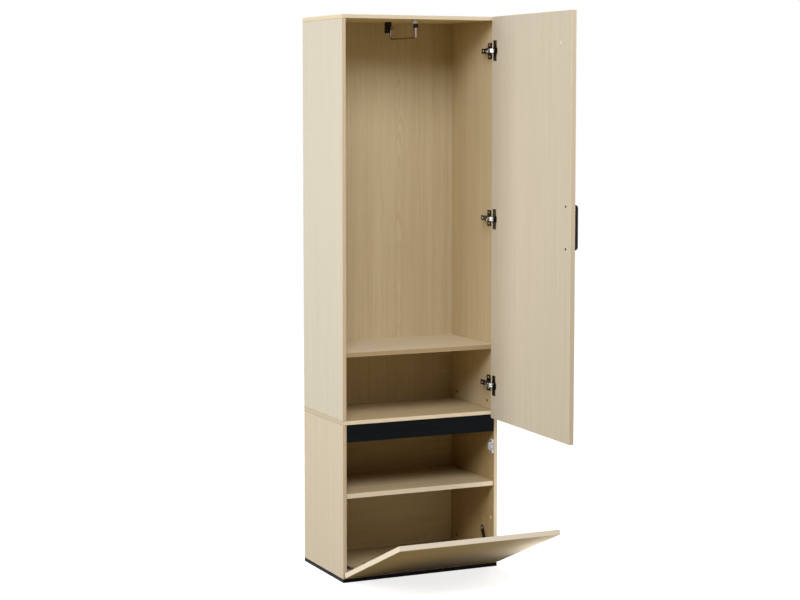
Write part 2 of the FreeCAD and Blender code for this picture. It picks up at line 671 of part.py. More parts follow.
def latch():
    """A push latch on the right wall of the lower cabinet: housing, sprung plunger and magnet."""
    x, y = f"{INNER} - latch_proud", f"{FRONT} + latch_setback"
    low = f"{LATCH_LEVEL} - latch_height / 2"
    middle = f"({INNER} - latch_proud / 2)"
    room = "plunger_size + 2 * plunger_play"
    channel = box((room, "plunger_length + plunger_travel", room),
                  (f"{middle} - ({room}) / 2", f"{y} - plunger_travel", f"{LATCH_LEVEL} - ({room}) / 2"))
    DRILLS.setdefault("latch_housing", []).append(channel)
    for way in (-1, 1):
        screw("latch_screws", ["latch_housing", "lower_side_right"],
              (x, f"{y} + latch_depth / 2", f"{LATCH_LEVEL} + {way} * latch_screw"), "x", -1, "latch_proud + screw_sink")
    node("latch_housing", cut(box(("latch_proud", "latch_depth", "latch_height"), (x, y, low)), DRILLS["latch_housing"]))
    tip = f"{FRONT} - plunger_reach"
    seat = rod("magnet_radius", "magnet_length", (middle, tip, LATCH_LEVEL), "y")
    plunger = box(("plunger_size", "plunger_length - plunger_travel", "plunger_size"),
                  (f"{middle} - plunger_size / 2", tip, f"{LATCH_LEVEL} - plunger_size / 2"))
    node("latch_plunger", cut(plunger, [seat]))
    node("latch_magnet", rod("magnet_radius", "magnet_length", (middle, tip, LATCH_LEVEL), "y"))


def hanger_rail():
    """A rod under the top, from front to back, and a wire hanger that slides forward along it."""
    rod_z = f"({TOP_UNDERSIDE} - rail_rod_drop)"
    front_y, rear_y = f"({FRONT} + rail_front)", f"({BACK_FACE} - rail_rear_gap)"
    half = "rail_bracket_width / 2"
    rod_from = f"{front_y}"
    rod_length = f"{rear_y} - rail_rear_length + rail_rod_seat - {front_y}"
    node("rail_rod", rod("rail_rod_radius", rod_length, ("0", rod_from, rod_z), "y"))
    hole = rod("rail_rod_radius + dowel_fit", f"{rod_length} + dowel_end_play", ("0", rod_from, rod_z), "y")

    rear = box(("rail_bracket_width", "rail_rear_length", "rail_rear_height"),
               (f"-{half}", f"{rear_y} - rail_rear_length", f"{TOP_UNDERSIDE} - rail_rear_height"))
    DRILLS.setdefault("rail_rear_bracket", []).append(hole)
    upright = box(("rail_bracket_width", "rail_front_thick", "rail_front_height"),
                  (f"-{half}", front_y, f"{TOP_UNDERSIDE} - rail_front_height"))
    flange = box(("rail_bracket_width", "rail_flange", "rail_front_thick"),
                 (f"-{half}", front_y, f"{TOP_UNDERSIDE} - rail_front_thick"))
    DRILLS.setdefault("rail_front_bracket", []).append(hole)
    screw("rail_screws", ["rail_front_bracket", "top_panel"],
          ("0", f"{front_y} + rail_flange / 2 + rail_front_thick / 2", f"{TOP_UNDERSIDE} - rail_front_thick"),
          "z", -1, "screw_sink + rail_front_thick")
    for turn in (0, 1):
        screw_y = f"{rear_y} - rail_screw_inset - {turn} * rail_screw_pitch"
        screw("rail_screws", ["rail_rear_bracket", "top_panel"],
              ("0", screw_y, f"{TOP_UNDERSIDE} - rail_rear_height"), "z", -1, "screw_sink + rail_rear_height")
    node("rail_rear_bracket", cut(rear, DRILLS["rail_rear_bracket"]))
    node("rail_front_bracket", cut(fuse([upright, flange]), DRILLS["rail_front_bracket"]))

    # Moving hanger: knob in front of the rod, slider round it, wire below
    knob_y = f"{front_y} - rail_gap - rail_knob_length"
    knob = box(("rail_knob_size", "rail_knob_length", "rail_knob_size"),
               ("-rail_knob_size / 2", knob_y, f"{rod_z} - rail_knob_size / 2"))
    slider_y = f"{rear_y} - rail_rear_length - rail_gap - rail_slider_length"
    slider = rod("rail_slider_radius", "rail_slider_length", ("0", slider_y, rod_z), "y")
    eye = rod("rail_rod_radius + rail_fit", "rail_slider_length", ("0", slider_y, rod_z), "y")
    front = -s.unit_depth / 2 + s.rail_front - s.rail_gap - s.rail_knob_length / 2
    rear_end = s.unit_depth / 2 - s.back_board - s.rail_rear_gap - s.rail_rear_length
    rear_end -= s.rail_gap + s.rail_slider_length / 2
    top = s.unit_height - s.panel_board - s.rail_rod_drop
    low = s.unit_height - s.panel_board - s.rail_wire_drop
    bend = s.rail_bend
    knob_foot, slider_foot = top - s.rail_knob_size / 2, top - s.rail_slider_radius
    tilt = bend * 0.5 ** 0.5
    runs = [Part.LineSegment(FreeCAD.Vector(0, front, knob_foot), FreeCAD.Vector(0, front, low + bend)),
            Part.Arc(FreeCAD.Vector(0, front, low + bend),
                     FreeCAD.Vector(0, front + bend - tilt, low + bend - tilt), FreeCAD.Vector(0, front + bend, low)),
            Part.LineSegment(FreeCAD.Vector(0, front + bend, low), FreeCAD.Vector(0, rear_end - bend, low)),
            Part.Arc(FreeCAD.Vector(0, rear_end - bend, low),
                     FreeCAD.Vector(0, rear_end - bend + tilt, low + bend - tilt),
                     FreeCAD.Vector(0, rear_end, low + bend)),
            Part.LineSegment(FreeCAD.Vector(0, rear_end, low + bend), FreeCAD.Vector(0, rear_end, slider_foot))]
    path = Part.Wire([run.toShape() for run in runs])
    ring = Part.Wire(Part.makeCircle(s.rail_wire_radius, FreeCAD.Vector(0, front, knob_foot), FreeCAD.Vector(0, 0, 1)))
    wire = path.makePipeShell([ring], True, False)
    node("rail_knob", knob)
    node("rail_slider", cut(slider, [eye]))
    node("rail_wire", shaped(wire, "placement(vector(0; 0; 0); rotationz(0))"))


def plugs_and_caps():
    """Small plugs on the walls and caps on the back panels, mirrored left and right."""
    for side, sign in SIDES:
        x = f"{INNER} - plug_thick" if sign > 0 else f"-{INNER}"
        for y, level in ((f"{FRONT} + plug_front_inset", UPPER_FLOOR_TOP), (f"{BACK_FACE} - plug_back_inset", UPPER_FLOOR_TOP),
                         (f"{BACK_FACE} - plug_back_inset", FLOOR_TOP)):
            GROUPS.setdefault("wall_plugs", []).append(
                rod("plug_radius", "plug_thick", (x, y, f"{level} + plug_rise"), "x"))
        for near, rise in (("back_cap_near", "back_cap_high"), ("back_cap_far", "back_cap_low")):
            for level in (UPPER_FLOOR_TOP, FLOOR_TOP):
                GROUPS.setdefault("back_caps", []).append(
                    rod("back_cap_radius", "plug_thick",
                        (f"{sign} * ({INNER} - {near})", f"{BACK_FACE} - plug_thick", f"{level} + {rise}"), "y"))
        GROUPS.setdefault("side_caps", []).append(
            rod("side_cap_radius", "plug_thick", (x, f"{FRONT} + side_cap_inset", "side_cap_level"), "x"))


def carcass():
    """Boards of the two carcasses and the base they stand on."""
    clear_width, clear_depth = f"2 * {INNER}", "unit_depth - back_board"
    board("base_board", ("unit_width", "unit_depth", "base_height"), ("-unit_width / 2", FRONT, "0"))
    for side, sign in SIDES:
        x = INNER if sign > 0 else "-unit_width / 2"
        board(f"lower_side_{side}", ("side_board", "unit_depth", "seam_height - base_height"), (x, FRONT, "base_height"))
        board(f"upper_side_{side}", ("side_board", "unit_depth", f"{TOP_UNDERSIDE} - {UPPER_FLOOR_TOP}"),
              (x, FRONT, UPPER_FLOOR_TOP))
    board("lower_floor", (clear_width, clear_depth, "panel_board"), (f"-{INNER}", FRONT, "base_height"))
    for label, low in (("upper_floor", "seam_height"), ("top_panel", TOP_UNDERSIDE)):
        board(label, ("unit_width", "unit_depth", "panel_board"), ("-unit_width / 2", FRONT, low))
    for unit, low, high in (("lower", "base_height", "seam_height"), ("upper", UPPER_FLOOR_TOP, TOP_UNDERSIDE)):
        board(f"{unit}_back", (clear_width, "back_board", f"{high} - {low}"), (f"-{INNER}", BACK_FACE, low))
        setback = f"{unit}_shelf_setback"
        board(f"{unit}_shelf", (f"{clear_width} - 2 * shelf_end_gap", f"{clear_depth} - {setback}", "shelf_board"),
              (f"-{INNER} + shelf_end_gap", f"{FRONT} + {setback}", SHELF_LEVELS[unit]))
    board("grip_rail", (clear_width, "grip_rail_board", "grip_rail_height"),
          (f"-{INNER}", f"{FRONT} + grip_rail_setback", "seam_height - grip_rail_height"))
    board("lower_rear_rail", (clear_width, "rear_rail_width", "panel_board"),
          (f"-{INNER}", f"{BACK_FACE} - rear_rail_width", "seam_height - panel_board"))


def write_parts():
    """Checks every object, then writes each piece to its own file."""
    doc.recompute()
    faulty = [f"{obj.Name} {obj.Label}" for obj in doc.Objects if {"Invalid", "Error"} & set(obj.State)]
    for label, obj in NODES.items():
        if obj.Shape.isNull() or not obj.Shape.isValid() or not obj.Shape.Solids:
            faulty.append(f"shape of {label}")
    if faulty:
        raise RuntimeError("faulty: " + ", ".join(faulty))
    os.makedirs("parts", exist_ok=True)
    for label, obj in NODES.items():
        obj.Shape.exportStep(f"parts/{label}.step")
    print(len(NODES), "pieces,", sum(len(obj.Shape.Solids) for obj in NODES.values()), "solids")


carcass_pegs()
shelf_pins()
hinges()
handle()
stays()
latch()
hanger_rail()
plugs_and_caps()
door()
flap()
carcass()
for group_label, pieces in GROUPS.items():
    gather(group_label, pieces)
write_parts()
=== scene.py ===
# %% [markdown]
# The locker is two stacked carcasses of pale birch-decor board with a tall door and a drop-down flap.
# Its solids come packed from the CAD side in metres, so nothing is scaled or moved here.
# This lesson dresses them: a camera and light first, then one finish at a time, then the small
# fittings that a bare solid lacks.

# %% Load the imported solids
import json
from math import radians

import bpy
import numpy as np
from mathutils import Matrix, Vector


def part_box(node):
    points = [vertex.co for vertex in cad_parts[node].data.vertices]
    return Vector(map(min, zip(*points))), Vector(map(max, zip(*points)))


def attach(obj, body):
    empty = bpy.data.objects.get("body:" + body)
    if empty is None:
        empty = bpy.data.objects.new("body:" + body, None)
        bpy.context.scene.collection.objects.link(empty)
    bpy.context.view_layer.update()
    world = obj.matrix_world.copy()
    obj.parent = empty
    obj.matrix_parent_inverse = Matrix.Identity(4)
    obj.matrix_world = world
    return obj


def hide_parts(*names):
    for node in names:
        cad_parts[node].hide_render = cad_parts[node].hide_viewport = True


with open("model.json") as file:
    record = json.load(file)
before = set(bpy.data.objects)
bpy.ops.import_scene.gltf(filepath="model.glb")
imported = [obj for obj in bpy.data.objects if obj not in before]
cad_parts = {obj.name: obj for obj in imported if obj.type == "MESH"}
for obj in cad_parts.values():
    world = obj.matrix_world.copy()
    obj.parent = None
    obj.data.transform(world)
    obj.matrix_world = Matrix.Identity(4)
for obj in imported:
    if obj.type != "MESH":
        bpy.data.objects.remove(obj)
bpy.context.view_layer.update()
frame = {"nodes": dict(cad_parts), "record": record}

nodes = frame["nodes"]

# %% [markdown]
# The picture was taken from the left, a little above half height, with a long lens.
# One could place a camera by eye. Here its place, turn and lens were solved from the corners of the
# carcass, door and flap, because then the edges of the render fall on the edges of the picture.

# %% Camera
PICTURE_WIDTH, FOCAL_PIXELS = 800.0, 1944.4
LOOK_DOWN, LOOK_RIGHT = 4.550, 24.727

lens = bpy.data.cameras.new("studio_camera")
camera = bpy.data.objects.new("studio_camera", lens)
bpy.context.scene.collection.objects.link(camera)
camera.location = (-2.6569, -5.7675, 1.5416)
camera.rotation_euler = (radians(90.0 - LOOK_DOWN), 0.0, radians(-LOOK_RIGHT))
lens.sensor_width = 36.0
lens.lens = 36.0 * FOCAL_PIXELS / PICTURE_WIDTH
lens.shift_y = -0.06
bpy.context.scene.camera = camera
print("lens", round(lens.lens, 1), "mm")

# %% [markdown]
# Every finish below is a small graph of shader nodes. Placing nodes one by one takes many lines, so a
# few helpers place a node and wire it at once, and the graphs then read almost like sums.

# %% Node helpers
def place(tree, kind, wires=None, **settings):
    """Adds a node, sets its properties, and wires or fills its inputs by name or number."""
    node = tree.nodes.new(kind)
    for key, value in settings.items():
        setattr(node, key, value)
    for socket, source in (wires or {}).items():
        if isinstance(source, bpy.types.NodeSocket):
            tree.links.new(source, node.inputs[socket])
        else:
            node.inputs[socket].default_value = source
    return node


def calc(tree, what, a, b=0.0, c=0.0):
    """One Math node: what(a, b, c), where each is a number or a socket."""
    return place(tree, "ShaderNodeMath", {0: a, 1: b, 2: c}, operation=what).outputs[0]


def vec(tree, what, a, b=(0.0, 0.0, 0.0)):
    """One Vector Math node: what(a, b), where each is a triple or a socket."""
    return place(tree, "ShaderNodeVectorMath", {0: a, 1: b}, operation=what).outputs[0]


def tint(tree, share, a, b):
    """The colour a where share is 0, b where it is 1."""
    return place(tree, "ShaderNodeMix", {0: share, 6: a, 7: b}, data_type="RGBA").outputs[2]


def ramp(tree, value, low, high, to_low=0.0, to_high=1.0):
    """Straight-line map of a value from low..high to to_low..to_high, clamped."""
    wires = {"Value": value, "From Min": low, "From Max": high, "To Min": to_low, "To Max": to_high}
    return place(tree, "ShaderNodeMapRange", wires).outputs[0]


def cloud(tree, where, stretch, detail=2.0, rough=0.5):
    """Noise from 0 to 1 on a position stretched by three factors."""
    at = vec(tree, "MULTIPLY", where, stretch)
    wires = {"Vector": at, "Scale": 1.0, "Detail": detail, "Roughness": rough}
    return place(tree, "ShaderNodeTexNoise", wires).outputs[0]


def new_finish(name):
    """A material with an empty node tree; returns both."""
    made = bpy.data.materials.new(name)
    made.use_nodes = True
    made.node_tree.nodes.clear()
    return made, made.node_tree


print("node helpers ready")

# %% [markdown]
# Large soft lamps on the left and in front light the unit over a white sweep, so each compartment falls
# off from its front edges to its back, and warm light comes up from below. The sweep could be lit until
# it burns out, but that would flood the object. So the floor and the sky look white only to the camera
# and to mirrors, and they send a weak, warm light to everything else.

# %% Sky
WHITE = (1.0, 1.0, 1.0, 1.0)
FILL = (0.018, 0.0125, 0.006, 1.0)


def looked_at(tree):
    """1 for rays from the camera, off mirrors and through glass, 0 for rays that carry plain light."""
    ray = place(tree, "ShaderNodeLightPath")
    share = calc(tree, "MAXIMUM", ray.outputs["Is Camera Ray"], ray.outputs["Is Transmission Ray"])
    return calc(tree, "MAXIMUM", share, ray.outputs["Is Glossy Ray"])


world = bpy.data.worlds.new("white_sweep")
bpy.context.scene.world = world
world.use_nodes = True
sky = world.node_tree
sky.nodes.clear()
glow = tint(sky, looked_at(sky), FILL, WHITE)
back = place(sky, "ShaderNodeBackground", {"Color": glow, "Strength": 1.0})
place(sky, "ShaderNodeOutputWorld", {"Surface": back.outputs[0]})
print("fill light", FILL[:3])

# %% Floor
BOUNCE = (0.330, 0.236, 0.080, 1.0)
SHOWN = (0.60, 0.60, 0.60, 1.0)
HALF_FLOOR = 30.0
SHADOW_ENDS = (0.7, 2.2)
LIFT = (0.80, 1.0)

corners = HALF_FLOOR * np.array([(-1, -1, 0), (1, -1, 0), (1, 1, 0), (-1, 1, 0)])
floor_mesh = bpy.data.meshes.new("studio_floor")
floor_mesh.from_pydata(corners.tolist(), [], [(0, 1, 2, 3)])
floor = bpy.data.objects.new("studio_floor", floor_mesh)
bpy.context.scene.collection.objects.link(floor)
paint, tree = new_finish("studio_floor_paint")
shown = looked_at(tree)
spot = place(tree, "ShaderNodeTexCoord").outputs["Object"]
away = place(tree, "ShaderNodeVectorMath", {0: spot}, operation="LENGTH").outputs["Value"]
matt = place(tree, "ShaderNodeBsdfDiffuse", {"Color": tint(tree, shown, BOUNCE, SHOWN)})
glow = calc(tree, "MULTIPLY", shown, ramp(tree, away, *SHADOW_ENDS, *LIFT))
lift = place(tree, "ShaderNodeEmission", {"Color": WHITE, "Strength": glow})
both = place(tree, "ShaderNodeAddShader", {0: matt.outputs[0], 1: lift.outputs[0]})
place(tree, "ShaderNodeOutputMaterial", {"Surface": both.outputs[0]})
floor.data.materials.append(paint)
print("floor laid, bounce", BOUNCE[:3])

# %% Lamps
AIM = (0.0, 0.0, 1.0)
LAMPS = {  # place, size in metres, watts
    "side_lamp": ((-4.16, 0.35, 1.58), 2.0, 94.0),
    "side_front_lamp": ((-4.42, -1.61, 2.71), 2.0, 52.0),
    "front_left_lamp": ((-1.62, -3.50, 4.20), 2.2, 131.0),
    "front_right_lamp": ((1.38, -3.78, 3.98), 2.2, 50.0),
    "right_lamp": ((4.2, 0.7, 1.7), 2.0, 70.0),
    "rear_lamp": ((0.9, 3.6, 3.7), 2.0, 95.0),
}


def soft_lamp(name, at, aim, size, watts):
    """A square area lamp at a point, turned so that it faces the aim."""
    light = bpy.data.lights.new(name, "AREA")
    light.size, light.energy = size, watts
    lamp = bpy.data.objects.new(name, light)
    bpy.context.scene.collection.objects.link(lamp)
    at, aim = np.array(at), np.array(aim)
    d = (aim - at) / np.linalg.norm(aim - at)
    lamp.location = at
    lamp.rotation_euler = (np.arccos(-d[2]), 0.0, np.arctan2(-d[0], d[1]))
    return lamp


for name, (at, size, watts) in LAMPS.items():
    soft_lamp(name, at, AIM, size, watts)
# A small lamp near the floor stands for the bright card under the flap's right end.
low_card = soft_lamp("low_card", (0.405, -0.45, 0.020), (0.395, -0.45, 1.0), 0.22, 0.85)
low_card.visible_camera = False
print("soft lamps:", len(bpy.data.lights))

# %% [markdown]
# Birch decor is a printed foil: pale, low in contrast, with fibres a millimetre wide and a hand long,
# broader streaks behind them, and on the backs the arched figure of a flat-sawn plank.
# A picture of wood would do, but it would repeat and stretch. Noise that is squeezed across the board
# and drawn out along it gives fibres of any length, so one node group serves every board with its own
# values. The arches are a sine wave bent into parabolas, which noise keeps from looking regular.

# %% Figure of the decor
LINE_AT, LINE_SWAY, FIGURE_WIDTH = 0.025, 0.080, 0.016
ARCHES_PER_METRE, ARCH_BEND = 11.0, 1.3
WANDER_SHIFT, STREAK_SHIFT, FADE = 4.0, 1.6, 0.25
WANDER, PATCH = (0.0, 0.0, 6.0), (2.0, 2.0, 5.0)
PATCH_ENDS, PATCH_STRENGTH = (0.38, 0.62), (0.15, 1.0)
TURN = 6.2832


def arched_figure(tree, vector, at, streak):
    """The sine of (height + across squared + noise) about a line that wanders along the board.
    It fades with the distance from that line, and comes and goes in patches."""
    wander = cloud(tree, at, WANDER, 3.0)
    axis = place(tree, "ShaderNodeSeparateXYZ", {0: vector})
    line = calc(tree, "MULTIPLY_ADD", wander, LINE_SWAY, LINE_AT)
    off = calc(tree, "DIVIDE", calc(tree, "SUBTRACT", axis.outputs[0], line), FIGURE_WIDTH)
    square = calc(tree, "MULTIPLY", off, off)
    bent = calc(tree, "MULTIPLY", square, ARCH_BEND)
    height = calc(tree, "MULTIPLY_ADD", axis.outputs[2], ARCHES_PER_METRE, bent)
    height = calc(tree, "MULTIPLY_ADD", streak, STREAK_SHIFT, height)
    height = calc(tree, "MULTIPLY_ADD", wander, WANDER_SHIFT, height)
    arch = calc(tree, "SINE", calc(tree, "MULTIPLY", height, TURN))
    near = calc(tree, "DIVIDE", 1.0, calc(tree, "MULTIPLY_ADD", square, FADE, 1.0))
    patch = ramp(tree, cloud(tree, at, PATCH, 2.0), *PATCH_ENDS, *PATCH_STRENGTH)
    return calc(tree, "MULTIPLY", arch, calc(tree, "MULTIPLY", near, patch))


print("figure with", ARCHES_PER_METRE, "arches to the metre")

# %% Grain as a shared node group
FIBRE, STREAK = (520.0, 520.0, 7.0), (85.0, 85.0, 1.3)
DRIFT, PORE = (14.0, 14.0, 0.7), (900.0, 900.0, 26.0)
PORE_ENDS, TONE_ENDS = (0.60, 0.72), (0.60, 1.12)
WEIGHTS = {"fibre": 0.80, "streak": 0.70, "drift": 0.22, "arch": 0.10, "pore": -0.10}


def new_group(name, inputs, outputs):
    """A shader node group with named sockets; returns its tree and its input and output nodes."""
    tree = bpy.data.node_groups.new(name, "ShaderNodeTree")
    for way, sockets in (("INPUT", inputs), ("OUTPUT", outputs)):
        for label, kind in sockets.items():
            tree.interface.new_socket(name=label, in_out=way, socket_type="NodeSocket" + kind)
    return tree, place(tree, "NodeGroupInput"), place(tree, "NodeGroupOutput")


def make_grain():
    """The sum of fibre, streak and drift noise, all squeezed across (X, Y) and drawn out along Z, with
    the arched figure added and the pores taken off. The sum picks a colour from Deep to Pale."""
    tree, given, out = new_group(
        "birch_grain",
        {"Vector": "Vector", "Seed": "Float", "Pale": "Color", "Deep": "Color", "Figure": "Float"},
        {"Color": "Color", "Height": "Float"},
    )
    vector, seed = given.outputs["Vector"], given.outputs["Seed"]
    apart = {0: calc(tree, "MULTIPLY", seed, 0.731), 1: seed, 2: calc(tree, "MULTIPLY", seed, 1.37)}
    at = vec(tree, "ADD", vector, place(tree, "ShaderNodeCombineXYZ", apart).outputs[0])
    fibre = cloud(tree, at, FIBRE, 3.0, 0.6)
    streak = cloud(tree, at, STREAK, 3.0, 0.55)
    drift = cloud(tree, at, DRIFT, 2.0)
    pore = ramp(tree, cloud(tree, at, PORE, 1.0), *PORE_ENDS)
    arch = calc(tree, "MULTIPLY", arched_figure(tree, vector, at, streak), given.outputs["Figure"])
    tone = calc(tree, "MULTIPLY", fibre, WEIGHTS["fibre"])
    for layer, name in ((streak, "streak"), (drift, "drift"), (arch, "arch"), (pore, "pore")):
        tone = calc(tree, "MULTIPLY_ADD", layer, WEIGHTS[name], tone)
    share = ramp(tree, tone, *TONE_ENDS)
    skin = tint(tree, share, given.outputs["Deep"], given.outputs["Pale"])
    tree.links.new(skin, out.inputs["Color"])
    tree.links.new(calc(tree, "MULTIPLY_ADD", pore, -0.5, fibre), out.inputs["Height"])
    return tree


birch_grain = make_grain()
print("group", birch_grain.name, "with", len(birch_grain.nodes), "nodes")

# %% [markdown]
# The narrow sides of the boards are closed with an edge band, a little yellower than the faces. Its
# arrises are rubbed, and shade gathers where one board meets another. Bands could be modelled as strips,
# but they are half a millimetre thick and lie flush. Masks are enough: how far a point is from the
# planes that bound the board.

# %% Board edges as a shared node group
BAND_FADE, JOINT_FADE, RUB_FADE = (0.0008, 0.0005), (0.0024, 0.0005), (0.0020, 0.0004)


def make_edges():
    """Band is 1 on a banded plane and Joint on a plane where boards meet; each fades out over its own
    distance from the nearest such plane. Rub fades out from an arris, where the second nearest plane of
    the board is near too."""
    sides = ("Low", "High", "Band Low", "Band High", "Joint Low", "Joint High")
    tree, given, out = new_group(
        "board_edges",
        {"Vector": "Vector", **{side: "Vector" for side in sides}},
        {"Band": "Float", "Rub": "Float", "Joint": "Float"},
    )

    def nearest(low, high):
        """Per axis, the distance to the nearer of two planes."""
        below = vec(tree, "SUBTRACT", given.outputs["Vector"], given.outputs[low])
        above = vec(tree, "SUBTRACT", given.outputs[high], given.outputs["Vector"])
        return place(tree, "ShaderNodeSeparateXYZ", {0: vec(tree, "MINIMUM", below, above)}).outputs

    for label, fade in (("Band", BAND_FADE), ("Joint", JOINT_FADE)):
        x, y, z = nearest(label + " Low", label + " High")
        least = calc(tree, "MINIMUM", calc(tree, "MINIMUM", x, y), z)
        tree.links.new(ramp(tree, least, *fade), out.inputs[label])
    x, y, z = nearest("Low", "High")
    least, most = calc(tree, "MINIMUM", x, y), calc(tree, "MAXIMUM", x, y)
    second = calc(tree, "MAXIMUM", least, calc(tree, "MINIMUM", most, z))
    tree.links.new(ramp(tree, second, *RUB_FADE), out.inputs["Rub"])
    return tree


board_edges = make_edges()
print("group", board_edges.name, "ready")

# %% [markdown]
# The faces outside, inside and in the shaded compartments get different tones, and so do the bands:
# the darker, warmer inside tones and the darker bands are painted shade, the lighter bands painted light.
# One material with a dozen switches could hold them all. A function that builds one material per board
# is easier to read, because each board then only names its own tone, bands and joints.

# %% Tones of the boards
TONES = {  # pale and deep end of the grain
    "outer": ((0.720, 0.690, 0.590, 1.0), (0.662, 0.623, 0.518, 1.0)),
    "lower": ((0.735, 0.672, 0.552, 1.0), (0.670, 0.604, 0.482, 1.0)),
    "leaf": ((0.660, 0.606, 0.505, 1.0), (0.595, 0.535, 0.428, 1.0)),
    # Painted shade: this tone and those below it are darker, warmer copies of the same decor, for faces
    # in shade.
    "inner_shade": ((0.735, 0.622, 0.420, 1.0), (0.630, 0.510, 0.315, 1.0)),
    "back": ((0.682, 0.584, 0.408, 1.0), (0.585, 0.476, 0.300, 1.0)),
    "shelf": ((0.725, 0.630, 0.480, 1.0), (0.640, 0.540, 0.390, 1.0)),
    "shaded": ((0.580, 0.468, 0.300, 1.0), (0.490, 0.375, 0.220, 1.0)),
    "hollow": ((0.545, 0.412, 0.215, 1.0), (0.460, 0.330, 0.156, 1.0)),
}
BAND = (0.800, 0.690, 0.505, 1.0)
# Painted shade: a darker copy of the band, for the left sides' front edges.
SHADED_LEFT_BAND = (0.690, 0.570, 0.410, 1.0)
RIGHT_BAND = (0.820, 0.715, 0.545, 1.0)
# Painted light: a lighter copy of the band, for the upper floor's edges.
LIT_SEAM_BAND = (0.980, 0.870, 0.680, 1.0)
# Painted shade: a darker copy of the band, for the upper shelf's front edge.
SHADED_SHELF_BAND = (0.470, 0.350, 0.205, 1.0)
# Painted light: lighter copies of the band, for the lower boards' front edges and the flap's edges.
LIT_LOW_BAND = (0.930, 0.810, 0.630, 1.0)
LIT_FLAP_BAND = (0.990, 0.900, 0.760, 1.0)
DOOR_BAND = (0.800, 0.695, 0.525, 1.0)
RUBBED = (0.830, 0.750, 0.600, 1.0)
GLUE = (0.560, 0.420, 0.265, 1.0)
SEAM_SHADE = (0.330, 0.300, 0.245, 1.0)
JOINT_SHADE = (0.420, 0.300, 0.175, 1.0)
print("board tones:", len(TONES))

# %% Planes of a board
NO_TURN = (0.0, 0.0, 0.0)
FAR = 9.0


def board_box(node, turn):
    """Low and high corner of a board after turning its points by Euler angles, so that it is square."""
    count = len(nodes[node].data.vertices)
    co = np.empty(count * 3, np.float32)
    nodes[node].data.vertices.foreach_get("co", co)
    a, b, c = turn
    rx = np.array([[1, 0, 0], [0, np.cos(a), -np.sin(a)], [0, np.sin(a), np.cos(a)]])
    ry = np.array([[np.cos(b), 0, np.sin(b)], [0, 1, 0], [-np.sin(b), 0, np.cos(b)]])
    rz = np.array([[np.cos(c), -np.sin(c), 0], [np.sin(c), np.cos(c), 0], [0, 0, 1]])
    co = co.reshape(-1, 3) @ (rz @ ry @ rx).T
    return co.min(0).astype(float), co.max(0).astype(float)


def edge_masks(tree, vector, low, high, bands="", joints=""):
    """The edge group with a board's planes. Sides are named l r f k b t: left, right, front, back,
    bottom and top. A side that isn't named has its plane far off."""
    wires = {"Vector": vector, "Low": tuple(low), "High": tuple(high)}
    for label, sides in (("Band", bands), ("Joint", joints)):
        wires[label + " Low"] = tuple(low[i] if k in sides else -FAR for i, k in enumerate("lfb"))
        wires[label + " High"] = tuple(high[i] if k in sides else FAR for i, k in enumerate("rkt"))
    return place(tree, "ShaderNodeGroup", wires, node_tree=board_edges).outputs


print("top panel spans", [c.round(3).tolist() for c in board_box("top_panel", NO_TURN)])

# %% Skin of a board
LIE_DOWN = (0.0, radians(-90.0), 0.0)
FIBRE_ENDS, FIBRE_RELIEF = (0.2, 0.8), 0.0003
SKIN_CHANGE = (-0.001, 0.001)


def dress(node, finish):
    """Gives a solid one finish."""
    nodes[node].data.materials.clear()
    nodes[node].data.materials.append(finish)


def board_shader(tree, wood, skin, rough, bump, gloss):
    """The end of a board's graph: a matt skin whose roughness and relief follow the fibres."""
    uneven = ramp(tree, wood["Height"], *FIBRE_ENDS, *rough)
    relief = {"Strength": bump, "Distance": FIBRE_RELIEF, "Height": wood["Height"]}
    shader = place(tree, "ShaderNodeBsdfPrincipled", {
        "Base Color": skin, "Roughness": uneven, "Specular IOR Level": gloss,
        "Normal": place(tree, "ShaderNodeBump", relief).outputs[0]})
    place(tree, "ShaderNodeOutputMaterial", {"Surface": shader.outputs[0]})


def face_tones(tree, tone, inside, centred, within):
    """Pale and deep colour of the grain: the inside tone, painted shade, on the half of the board that
    lies towards within, the other tone elsewhere."""
    if within is None:
        return TONES[tone]
    wires = {0: centred, 1: within}
    facing = place(tree, "ShaderNodeVectorMath", wires, operation="DOT_PRODUCT").outputs["Value"]
    turned_in = ramp(tree, facing, *SKIN_CHANGE)
    return [tint(tree, turned_in, a, b) for a, b in zip(TONES[tone], TONES[inside])]


print("board skins ready")

# %% Birch board
BAND_COVER = 0.92


def birch(node, along, seed, bands="f", tone="outer", turn=NO_TURN, figure=0.0,
          within=None, inside="inner_shade", joints="", joint=0.50, shade=JOINT_SHADE,
          rub=0.35, arris=RUBBED, band=BAND):
    """A board's finish: grain along its X or Z, bands and joints on the named sides.
    turn squares a leaf that stands open. within is the way from the board's middle to the face that is
    turned to the inside and has the inside tone, which is painted shade."""
    low, high = board_box(node, turn)
    made, tree = new_finish("birch_" + node)
    raw = place(tree, "ShaderNodeTexCoord").outputs["Object"]
    square = place(tree, "ShaderNodeMapping", {"Vector": raw, "Rotation": turn}).outputs[0]
    middle = {"Vector": square, "Location": tuple(-(low + high) / 2.0)}
    centred = place(tree, "ShaderNodeMapping", middle).outputs[0]
    laid = {"Vector": centred, "Rotation": NO_TURN if along == "z" else LIE_DOWN}
    pale, deep = face_tones(tree, tone, inside, centred, within)
    wood = place(tree, "ShaderNodeGroup", {
        "Vector": place(tree, "ShaderNodeMapping", laid).outputs[0],
        "Seed": seed, "Pale": pale, "Deep": deep, "Figure": figure}, node_tree=birch_grain).outputs
    edge = edge_masks(tree, square, low, high, bands, joints)
    skin = wood["Color"]
    for mask, share, colour in (("Band", BAND_COVER, band), ("Rub", rub, arris), ("Joint", joint, shade)):
        skin = tint(tree, calc(tree, "MULTIPLY", edge[mask], share), skin, colour)
    board_shader(tree, wood, skin, (0.74, 0.60), 0.12, 0.01)
    dress(node, made)


print("one birch finish per board")

